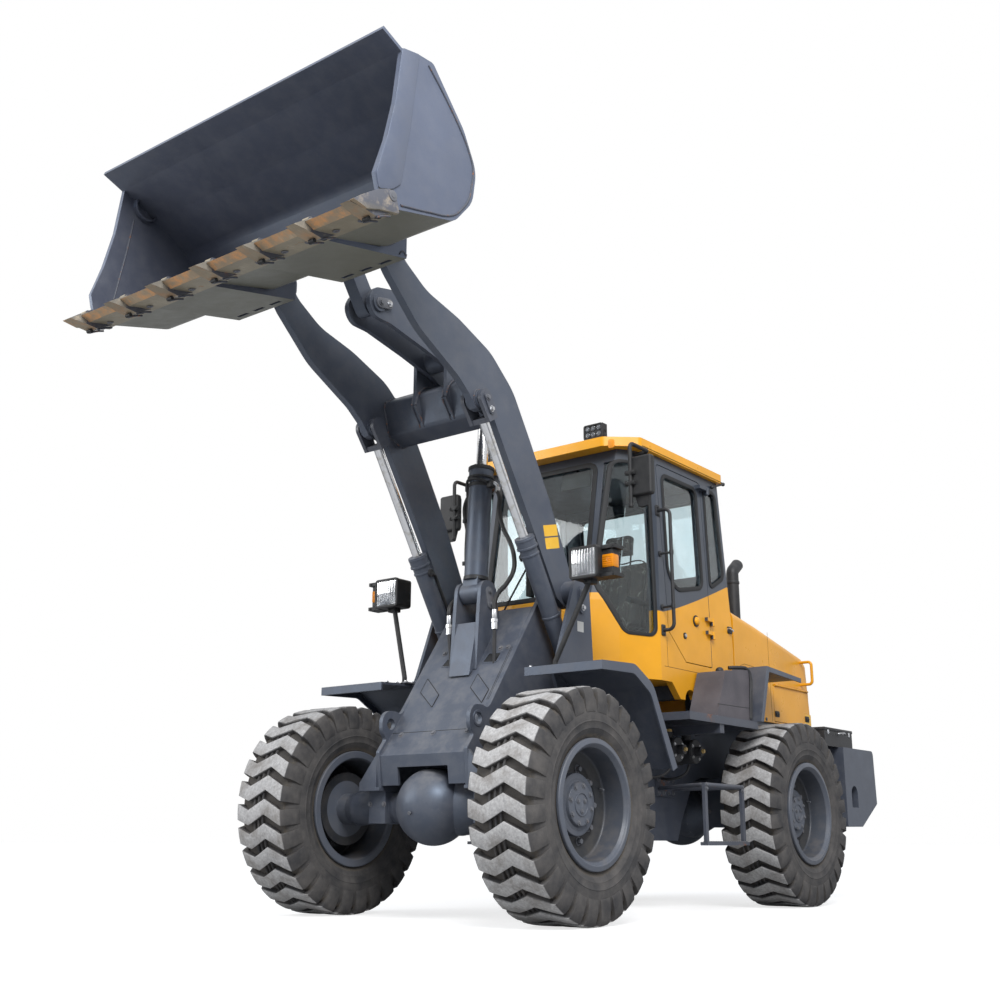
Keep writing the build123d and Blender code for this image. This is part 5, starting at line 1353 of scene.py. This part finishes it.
def makeFrontTrim():
    cover = flatPlace((-497, 0, 1974), (0, 1, 0), (-0.5742, 0, 0.8187))
    dark, plain, hole = bmesh.new(), bmesh.new(), bmesh.new()
    for y, along in coverTrim["bolts"]:
        at = cover(y, -along, 0)
        addBolt(dark, at, (0.8187, 0, 0.5742), 0.024, 0.010)
    for corners in coverTrim["stampings"]:
        flat = [(y, -along) for y, along in corners]
        addPad(plain, flat, cover, radius=6, low=-1, high=3, bevel=1.5)
        addBand(hole, flat, cover, radius=6, outside=1.5, inside=3, low=-1, high=3.6, bevel=0)
    for corners in coverTrim["slots"]:
        addPad(hole, [(y, -along) for y, along in corners], cover, radius=8, low=-1, high=1, bevel=0)
        flat = [(y, -along) for y, along in corners]
        addBand(plain, flat, cover, radius=8, outside=8, inside=1, low=-1, high=4, bevel=1.5)
    # seams of the lower panel and of the side strip
    for u0, u1, v0, v1 in ((-344, 344, -1031, -1027), (322, 326, -800, -360), (334, 337, -800, -360)):
        addPad(hole, rectangle(u0, u1, v0, v1), cover, radius=0, low=-1, high=0.6, bevel=0)
    for side in (1, -1):
        # rolled edge of the towing eye, ear bolts by the tilt cylinder's foot
        addRing(plain, spot(110, side * 374, 1190), spot(110, side * 379, 1190), 0.037, 0.052)
        pinPlate(dark, dark, (-315, 2075), (-330, 1990), 114, side, 30, 10, 0.030)
    newPiece("coverBolts", dark, boltSteel, "front_half")
    newPiece("coverStampings", plain, darkPaint, "front_half")
    newPiece("coverOpenings", hole, blackRubber, "front_half")

    pipes, nuts = bmesh.new(), bmesh.new()
    for low, high in coverTrim["pipes"]:
        addTube(pipes, [spot(-226, low, 1560), spot(-226, low, 1640), spot(-225, (low + high) / 2, 1720),
                        spot(-225, high, 1790), spot(-225, high, 1830)], 0.013)
        addRound(nuts, spot(-225, high, 1796), spot(-225, high, 1840), 0.021, segments=6)
        addRound(nuts, spot(-225, high, 1842), spot(-225, high, 1862), 0.024, segments=6)
        addRound(nuts, spot(-225, high, 1862), spot(-225, high, 1924), 0.0185, segments=24, bevel=0.002)
    newPiece("coverPipes", pipes, blackSteel, "front_half")
    newPiece("coverFittings", nuts, zincSteel, "front_half")

    dark, bright = bmesh.new(), bmesh.new()
    for side in (1, -1):
        for at, target in (((-700, 2073), dark), ((-700, 1965), bright)):
            start = spot(at[0], side * 614, at[1])
            addRound(target, start, start + Vector((0, side * 0.004, 0)), 0.021, segments=20)
            addBolt(target, start + Vector((0, side * 0.003, 0)), (0, side, 0), 0.028, 0.013, washer=False)
        pinPlate(dark, bright, (-838, 1430), (-838, 1500), 600, side, 30, 10, 0.030)
        # foot of the lamp's tube on the fender
        addBlock(dark, spot(-385, side * 640 - 60, 1512), spot(-285, side * 640 + 60, 1522), 0.002)
        for dx, dy in ((-34, -44), (34, -44), (-34, 44), (34, 44)):
            addBolt(bright, spot(-335 + dx, side * 640 + dy, 1522), (0, 0, 1), 0.018, 0.010)
        # bolts along the fender's mounting edge
        for x in (-120, -260, -420):
            addBolt(bright, spot(x, side * 606, 1504 + (-60 - x) * 0.032), (0, 0, 1), 0.016, 0.009)
    newPiece("towerPinPlates", dark, boltSteel, "front_half")
    newPiece("towerBrightBolts", bright, zincSteel, "front_half")
    bm = bmesh.new()
    for side in (1, -1):
        place = lambda x, z, out: spot(x, side * (600 + out), z)
        addPad(bm, rectangle(-722, -649, 1802, 1871), place, radius=3, low=-0.5, high=0.7, bevel=0)
    newPiece("towerLabels", bm, decalWhite, "front_half")

    # axle: studs of the housing's flanges, drain plug and breather, bracket bolts
    for x, body in ((0, "front_half"), (-2910, "rear_half")):
        bm = bmesh.new()
        for side in (1, -1):
            for index in range(14):
                angle = math.tau * index / 14
                addBolt(bm, spot(x + 158 * math.cos(angle), side * 184, 670 + 158 * math.sin(angle)),
                        (0, side, 0), 0.020, 0.014)
            for dx in (-90, 90):
                for dz in (-60, 60):
                    addBolt(bm, spot(x + 130 if dx > 0 else x - 130, side * 430 + dz, 690), (dx, 0, 0), 0.022,
                            0.012)
        ball = 75 if x == 0 else -75
        addBolt(bm, spot(x + ball * 4.16, 12, 628), (ball, 0, -20), 0.022, 0.010, washer=False)
        addBolt(bm, spot(x + ball * 2.2, -54, 520), (0.4 * ball, 0, -60), 0.03, 0.012)
        newPiece("axleBolts_" + ("front" if x == 0 else "rear"), bm, boltSteel, body)
    print("front trim ready")


hubTrim = {"coverBolts": 8, "coverRadius": 116, "coverFace": 103, "rimNuts": 10, "rimNutRadius": 214}


def makeWheelTrim():
    for end in ("front", "rear"):
        for side, name in ((1, "left"), (-1, "right")):
            wheel = f"wheel_{end}_{name}"
            centre = middle(f"rim_{end}_{name}")
            tyreMiddle = middle(f"tyre_{end}_{name}").y

            def at(radius, angle, out):
                return Vector((centre.x + radius / 1000 * math.cos(angle), tyreMiddle + side * out / 1000,
                               frontAxle.z + radius / 1000 * math.sin(angle)))
            paint, rust = bmesh.new(), bmesh.new()
            for index in range(hubTrim["coverBolts"]):
                angle = math.tau * (index + 0.3) / hubTrim["coverBolts"]
                addBolt(rust, at(hubTrim["coverRadius"] - 8, angle, hubTrim["coverFace"] + 1), (0, side, 0),
                        0.020, 0.010)
            for index in range(hubTrim["rimNuts"]):
                angle = math.tau * index / hubTrim["rimNuts"]
                addBolt(rust, at(hubTrim["rimNutRadius"], angle, 33), (0, side, 0), 0.032, 0.026)
            for index in range(3):
                angle = math.tau * index / 3 + 0.5
                addBolt(rust, at(38, angle, 108), (0, side, 0), 0.018, 0.008)
            # raised rim on the cover, groove and lock ring on the rim's flange, valve
            for inner, outer, low, high in ((60, 68, 106, 111), (140, 147, 77, 83)):
                profile = [(low, inner), (high, inner + 2), (high, outer - 2), (low, outer)]
                addTurned(paint, [(side * y / 1000, r / 1000) for y, r in profile],
                          (centre.x, tyreMiddle, frontAxle.z))
            for radius, out, bead in ((349, 209, 5), (334, 204, 4)):
                profile = [(out - 2, radius - bead), (out + bead * 0.7, radius - bead * 0.6),
                           (out + bead, radius), (out + bead * 0.7, radius + bead * 0.6),
                           (out - 2, radius + bead)]
                addTurned(paint, [(side * y / 1000, r / 1000) for y, r in profile],
                          (centre.x, tyreMiddle, frontAxle.z), 96)
            addRound(rust, at(285, 2.8, 60), at(268, 2.8, 96), 0.007, 0.005, segments=12)
            newPiece(f"hubBolts_{end}_{name}", rust, boltSteel, wheel)
            newPiece(f"rimRings_{end}_{name}", paint, rimPaint, wheel)
    print("wheel trim ready")


bucketTrim = {
    "doubler": [(1719, 4590), (1856, 4556), (1898, 4212), (1957, 3958), (2026, 3739), (2003, 3652),
                (1904, 3690), (1843, 3745), (1777, 4130)],
    "endTooth": [(1850, 3572), (1866, 3632), (1926, 3682), (2008, 3646), (2072, 3602), (2186, 3515),
                 (2085, 3502), (1992, 3536)],
    "seam": [(1640, 4566), (1500, 4446), (1349, 4292), (1286, 4205), (1247, 4112), (1258, 4000), (1280, 3914),
             (1345, 3818), (1418, 3752), (1630, 3682), (1836, 3630)],
    "teeth": 7,
    "stiffener": [(1771, 4360), (1800, 4150), (1838, 3930), (1868, 3760)],
}


def makeBucketTrim():
    plates, beads, rust, dark = bmesh.new(), bmesh.new(), bmesh.new(), bmesh.new()
    for side in (1, -1):
        outer = lambda x, z, out: spot(x, side * (1220 + out), z)
        addPad(plates, bucketTrim["doubler"], outer, radius=14, low=-2, high=7, bevel=2)
        addPad(rust, bucketTrim["endTooth"], outer, radius=6, low=-18, high=10, bevel=2)
        addRound(dark, outer(1904, 3652, 9), outer(1904, 3652, 14), 0.030, segments=32, bevel=0.003)
        addRound(dark, outer(1904, 3652, 10), outer(1904, 3652, 16), 0.014, segments=6)
        addBead(beads, [outer(x, z, 1) for x, z in bucketTrim["seam"]], 0.006)
        inner = lambda x, z, out: spot(x, side * (1195 - out), z)
        addBead(beads, [inner(x, z, 0) for x, z in bucketTrim["stiffener"]], 0.006)
        addRing(plates, spot(1700, side * 1196, 4462), spot(1700, side * 1158, 4462), 0.076, 0.088)
        # pins that hold the bucket on the boom, with their keeper plates
        pinPlate(dark, dark, (1140, 3910), (1086, 3962), 536, side, 30, 10, 0.030)
        pinPlate(dark, dark, (1090, 4140), (1152, 4168), 70, side, 26, 8, 0.026)
        for x0, x1 in ((1244, 1300), (1300, 1456)):
            addBead(beads, [spot(x0, side * 726, 3672 + (x1 - x0)), spot((x0 + x1) / 2, side * 728, 3745),
                            spot(x1, side * 726, 3718)], 0.005)
    newPiece("bucketDoublers", plates, bucketPaint, "bucket")
    newPiece("bucketEndTeeth", rust, edgeSteel, "bucket")
    newPiece("bucketWelds", beads, weldBead, "bucket")

    # each tooth's adapter: welded foot, wedge slot and its keeper
    pitch = 2 * (1220 - 50) / (bucketTrim["teeth"] - 1)
    feet, slots = bmesh.new(), bmesh.new()
    for index in range(bucketTrim["teeth"]):
        y = -1220 + 50 + index * pitch
        under = lambda u, v, out: spot(1900 + u, y + v, 3586 - 0.243 * (u + 47) - 34 - out)
        addPad(slots, rectangle(28, 78, -13, 13), under, radius=10, low=-1, high=2.5, bevel=0)
        for v in (-44, 44):
            addBead(feet, [under(6, v, 0), under(50, v, 6), under(104, v, 22)], 0.006)
        addRound(slots, under(130, -20, 24), under(130, 20, 24), 0.012, segments=16)
    newPiece("toothWelds", feet, weldBead, "bucket")
    newPiece("toothSlots", slots, blackRubber, "bucket")
    # countersunk bolts of the wear strips under the floor between the teeth
    for index in range(bucketTrim["teeth"] - 1):
        y = -1220 + 50 + (index + 0.5) * pitch
        for offset in (-92, 92):
            at = spot(1960, y + offset, 3598 - 0.243 * (1960 - 1853) - 33)
            addRound(dark, at, at + Vector((-0.001, 0, -0.004)), 0.021, 0.018, segments=20)
            addRound(dark, at, at + Vector((-0.0015, 0, -0.007)), 0.010, segments=6)
    newPiece("bucketBolts", dark, boltSteel, "bucket")
    print("bucket trim ready")


def addStrip(bm, points, place, width=3.5, low=-0.5, high=0.8):
    # thin line on a wall, such as the gap between two panels
    for (u0, v0), (u1, v1) in zip(points, points[1:]):
        run = Vector((u1 - u0, v1 - v0, 0)).normalized() * width / 2
        across = Vector((-run.y, run.x, 0))
        quad = [Vector((u0, v0, 0)) - run + across, Vector((u0, v0, 0)) - run - across,
                Vector((u1, v1, 0)) + run - across, Vector((u1, v1, 0)) + run + across]
        addPad(bm, [(p.x, p.y) for p in quad], place, radius=0, low=low, high=high, bevel=0)


rearTrim = {
    "cabCrease": [(-1444, 1653), (-2545, 1655)],
    "cabSeam": [(-1548, 1842), (-1552, 1655)],
    "hoodArch": [(-2640, 1735), (-2664, 1752), (-2700, 1790), (-2761, 1806), (-2900, 1802), (-3120, 1796)],
    "hoodSeam": [(-3196, 2110), (-3200, 1750), (-3213, 1395)],
    "label": (-3950, -3836, 1402, 1500),
    "latches": [(-3300, 1460), (-3870, 1460)],
}


def makeRearTrim():
    seams, dark, bright, black, yellow = bmesh.new(), bmesh.new(), bmesh.new(), bmesh.new(), bmesh.new()
    brass, labels = bmesh.new(), bmesh.new()
    for side, name in ((1, "left"), (-1, "right")):
        wall = onSide(side)
        hoodSide = lambda x, z, out: spot(x, side * (740 + out), z)
        addStrip(seams, rearTrim["cabCrease"], wall)
        addStrip(seams, rearTrim["cabSeam"], wall)
        addStrip(seams, rearTrim["hoodArch"], hoodSide)
        addStrip(seams, rearTrim["hoodSeam"], hoodSide)
        addPad(labels, rectangle(*rearTrim["label"]), hoodSide, radius=6, low=-0.5, high=0.7, bevel=0)
        # latch loop on the cab's rear corner, round filler cap
        addRound(bright, wall(-2494, 2039, 0), wall(-2494, 2039, 8), 0.026, segments=28, bevel=0.002)
        addTube(bright, [wall(-2476, 2046, 6), wall(-2470, 2040, 30), wall(-2490, 2024, 36),
                         wall(-2512, 2034, 30), wall(-2510, 2048, 6)], 0.005)
        # side box: rolled tube round its rear edge, filler knob and lid seam
        addTube(black, [spot(-2296, side * 1002, 1330), spot(-2306, side * 1004, 1480),
                        spot(-2318, side * 1002, 1650),
                        spot(-2300, side * 992, 1694), spot(-2240, side * 950, 1704),
                        spot(-2180, side * 900, 1700)],
                0.014)
        addDome(black, spot(-2060, side * 890, 1668), (0.1, 0, 1), 0.030, 0.026)
        addStrip(black, [(-1802, 1400), (-2292, 1408)], lambda x, z, out: spot(x, side * (1000 + out), z), 4)
        # brake boosters: caps, clamp bands, centre bolts
        for x in (-1720, -1975):
            addRound(brass, spot(x, side * 640, 1212), spot(x, side * 640, 1236), 0.029, 0.027, segments=28,
                     bevel=0.003)
            addRound(brass, spot(x, side * 768, 1090), spot(x, side * 786, 1090), 0.017, 0.014, segments=6)
            addRound(black, spot(x, side * 700, 1090), spot(x, side * 712, 1090), 0.088, segments=40,
                     bevel=0.002)
            addRound(black, spot(x, side * 500, 1090), spot(x, side * 512, 1090), 0.088, segments=40,
                     bevel=0.002)
            addBolt(bright, spot(x + 60, side * 576, 1168), (0.3, 0, 1), 0.018, 0.012)
            addTube(black, [spot(x, side * 660, 1000), spot(x + 20, side * 640, 940),
                            spot(x + 60, side * 560, 900), spot(x + 70, side * 450, 905)], 0.010)
            for angle in (0.6, 2.5, 4.1, 5.6):
                addBolt(bright, spot(x + 64 * math.cos(angle), side * 720, 1090 + 64 * math.sin(angle)),
                        (0, side, 0), 0.013, 0.008)
        # step: ribs on the rung, bolts of its flange, studs on the platform's bracket
        for x in range(-2110, -1545, 34):
            addBlock(dark, spot(x, side * 1002 - 24, 460), spot(x + 12, side * 1002 + 24, 468), 0.002)
        for x in (-2092, -2030, -1960, -1890):
            for z in (804, 896):
                addBolt(dark, spot(x, side * 449, z), (0, side, 0), 0.020, 0.012)
        for x in (-2086, -1566):
            for z in (812, 838):
                addBolt(dark, spot(x, side * 1012, z), (0, side, 0), 0.018, 0.010)
        for x in range(-2330, -1440, 60):
            for y in range(520, 990, 66):
                if not (-2320 < x < -1770 and y > 740):
                    addDome(dark, spot(x, side * y, 1316), (0, 0, 1), 0.011, 0.004, 10)
        # battery box: lid, its handle and latches
        addBlock(black, spot(-4276, side * 800 - 166, 1352), spot(-3694, side * 800 + 166, 1378), 0.006)
        addTube(bright, [spot(-4050, side * 968, 1330), spot(-4048, side * 990, 1334),
                         spot(-3930, side * 990, 1334), spot(-3928, side * 968, 1330)], 0.006)
        for x in (-4200, -3770):
            addBlock(bright, spot(x - 16, side * 962 - 4, 1320), spot(x + 16, side * 962 + 4, 1366), 0.002)
        # hood door's latches ride with the door below; its screws stay here
        for x in (-2700, -2900, -3100):
            addBolt(dark, hoodSide(x, 1404, 0), (0, side, 0), 0.018, 0.008)
        # tail lamp in its black frame
        addBlock(black, spot(-4636, side * 840 - 110, 1070), spot(-4608, side * 840 + 110, 1180), 0.006)
        lamp = bmesh.new()
        lampFace = lambda u, v, out: spot(-4636 - out, side * u, v)
        fluted(lamp, lampFace, 740, 850, 1080, 1170, 5, 6, 1)
        newPiece(f"tailLens_{name}", lamp, redLens, "rear_half")
        lamp = bmesh.new()
        fluted(lamp, lampFace, 856, 940, 1080, 1170, 4, 6, 1)
        newPiece(f"tailTurnLens_{name}", lamp, amberLens, "rear_half")

        door = bmesh.new()
        for x, z in rearTrim["latches"]:
            addPad(door, rectangle(x - 38, x + 38, z - 24, z + 24), hoodSide, radius=10, low=-1, high=5,
                   bevel=1.5)
            addRound(door, hoodSide(x + 14, z, 4), hoodSide(x + 14, z, 10), 0.011, segments=20)
            addBlock(door, hoodSide(x - 30, z - 8, 4), hoodSide(x, z + 8, 11), 0.002)
        newPiece(f"hoodLatches_{name}", door, blackPlastic, f"hood_door_{name}")

    # rear of the hood: the mesh behind the louvres
    mesh = bmesh.new()
    for y in range(-450, 451, 28):
        addRound(mesh, spot(-3932, y, 1480), spot(-3924, y, 1800), 0.004, segments=8)
    # counterweight: lifting eyes, bolts and the tow pin's head
    for side in (1, -1):
        addTube(dark, [spot(-4380, side * 620 - 55, 1220), spot(-4380, side * 620 - 50, 1268),
                       spot(-4380, side * 620, 1292),
                       spot(-4380, side * 620 + 50, 1268), spot(-4380, side * 620 + 55, 1220)], 0.015)
        for x in (-4100, -4280):
            for y in (180, 360):
                addBolt(dark, spot(x, side * y, 1225), (0, 0, 1), 0.040, 0.024)
    addRound(dark, spot(-4515, 0, 1222), spot(-4515, 0, 1240), 0.046, segments=32, bevel=0.003)
    addTube(bright, [spot(-4515, -24, 1236), spot(-4515, -30, 1275), spot(-4515, 0, 1296),
                     spot(-4515, 30, 1275), spot(-4515, 24, 1236)], 0.007)
    # exhaust: clamp and rolled lip
    for z in (2150, 2600):
        addRound(black, spot(-3380, 360, z - 12), spot(-3380, 360, z + 12), 0.057, segments=36, bevel=0.003)
    # pressed panels on the roof
    addPad(yellow, rectangle(-1480, -1880, -560, 560), lambda x, y, out: spot(x, y, 3270 + out), radius=60,
           low=-2, high=10, bevel=5)
    addPad(yellow, rectangle(-1980, -2380, -560, 560), lambda x, y, out: spot(x, y, 3270 + out), radius=60,
           low=-2, high=10, bevel=5)
    for piece, bm, material, slot in (("panelSeams", seams, seamShade, "yellow_paint"),
                                      ("rearBolts", dark, boltSteel, "dark_paint"),
                                      ("rearBrightParts", bright, zincSteel, "rod_chrome"),
                                      ("rearBlackParts", black, blackSteel, "black_steel"),
                                      ("rearYellowParts", yellow, yellowPaint, "yellow_paint"),
                                      ("boosterCaps", brass, brassCap, "edge_steel"),
                                      ("hoodLabels", labels, decalYellow, "yellow_paint"),
                                      ("grilleMesh", mesh, blackSteel, "black_steel")):
        newPiece(piece, bm, material, "rear_half")
    print("rear trim ready")


jointHoses = {"ends": [(-150, 1120), (-70, 1150), (70, 1150), (150, 1120)], "radius": 0.014, "sag": 70}


def makeJointHoses():
    for index, (y, z) in enumerate(jointHoses["ends"]):
        bm = bmesh.new()
        low = z - jointHoses["sag"]
        addTube(bm, [spot(-1758, y, z), spot(-1700, y, z), spot(-1600, y * 1.1, z - 25),
                     spot(-1455, y * 1.15, low),
                     spot(-1300, y * 1.1, z - 25), spot(-1215, y, z), spot(-1166, y, z)],
                     jointHoses["radius"], 10, 14)
        hose = newPiece(f"jointHose_{index}", bm, hoseRubber, None)
        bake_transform(hose)
        for body, x, away in (("rear_half", -1758, 1), ("front_half", -1166, -1)):
            nut = bmesh.new()
            addRound(nut, spot(x, y, z), spot(x + away * 26, y, z), 0.022, segments=6)
            addRound(nut, spot(x + away * 24, y, z), spot(x + away * 62, y, z), 0.018, segments=24,
                     bevel=0.002)
            newPiece(f"jointHoseNut_{body}_{index}", nut, zincSteel, body)
    print("joint hoses ready")


makeSeat()
makeGaskets()
makeCabTrim()
makeHeadlamps()
makeRoofLamps()
makeMirrors()
makeBoomTrim()
makeCylinderTrim()
makeFrontTrim()
makeWheelTrim()
makeBucketTrim()
makeRearTrim()
makeJointHoses()


view = {"x": 6070, "y": 5155, "z": 470, "heading": -142.243, "rise": 15.378, "roll": 0.14, "lens": 44.54}


def makeCamera():
    camera = bpy.data.cameras.new("viewCamera")
    camera.lens = view["lens"]
    camera.sensor_width = 36
    camera.clip_end = 400
    holder = bpy.data.objects.new("viewCamera", camera)
    bpy.context.scene.collection.objects.link(holder)
    heading, rise = math.radians(view["heading"]), math.radians(view["rise"])
    look = Vector((math.cos(rise) * math.cos(heading), math.cos(rise) * math.sin(heading), math.sin(rise)))
    turn = look.to_track_quat("-Z", "Y").to_matrix().to_4x4() @ Matrix.Rotation(math.radians(view["roll"]), 4,
                                                                                "Z")
    holder.matrix_world = Matrix.Translation(spot(view["x"], view["y"], view["z"])) @ turn
    bpy.context.scene.camera = holder


def addLamp(name, at, size, power):
    lamp = bpy.data.lights.new(name, "AREA")
    lamp.shape = "DISK"
    lamp.size = size
    lamp.energy = power
    holder = bpy.data.objects.new(name, lamp)
    bpy.context.scene.collection.objects.link(holder)
    aim = (Vector((0, 0, 1.8)) - Vector(at)).to_track_quat("-Z", "Y").to_matrix().to_4x4()
    holder.matrix_world = Matrix.Translation(at) @ aim


def makeStudio():
    scene = bpy.context.scene
    scene.view_settings.view_transform = "Standard"
    world = bpy.data.worlds.new("softSky")
    world.use_nodes = True
    scene.world = world
    tree = world.node_tree
    tree.nodes.clear()
    path = put(tree, "ShaderNodeLightPath")
    seen = calc(tree, "MAXIMUM", path.outputs["Is Camera Ray"], path.outputs["Is Transmission Ray"])
    seen = calc(tree, "MAXIMUM", seen, calc(tree, "MULTIPLY", path.outputs["Is Glossy Ray"], 0.8))
    sky = put(tree, "ShaderNodeBackground", Color=(0.86, 0.91, 1.0, 1), Strength=0.62)
    white = put(tree, "ShaderNodeBackground", Color=(1, 1, 1, 1), Strength=1.0)
    pick = put(tree, "ShaderNodeMixShader")
    end = put(tree, "ShaderNodeOutputWorld")
    join(tree, (seen, pick.inputs[0]), (sky.outputs[0], pick.inputs[1]), (white.outputs[0], pick.inputs[2]),
         (pick.outputs[0], end.inputs[0]))
    addLamp("keyLamp", (6.5, 7.0, 9.5), 7.0, 1600)
    addLamp("fillLamp", (7.5, -6.0, 5.0), 6.0, 420)

    bm = bmesh.new()
    bmesh.ops.create_grid(bm, x_segments=1, y_segments=1, size=150)
    mesh = bpy.data.meshes.new("studioFloor")
    bm.to_mesh(mesh)
    bm.free()
    floor = bpy.data.objects.new("studioFloor", mesh)
    scene.collection.objects.link(floor)
    material = bpy.data.materials.new("paleFloor")
    material.use_nodes = True
    tree = material.node_tree
    shader = tree.nodes["Principled BSDF"]
    shader.inputs["Base Color"].default_value = (0.42, 0.42, 0.42, 1)
    shader.inputs["Roughness"].default_value = 0.9
    shader.inputs["Emission Color"].default_value = (1, 1, 1, 1)
    path = put(tree, "ShaderNodeLightPath")
    join(tree, (calc(tree, "MULTIPLY", path.outputs["Is Camera Ray"], 0.72),
                shader.inputs["Emission Strength"]))
    mesh.materials.append(material)


makeCamera()
makeStudio()
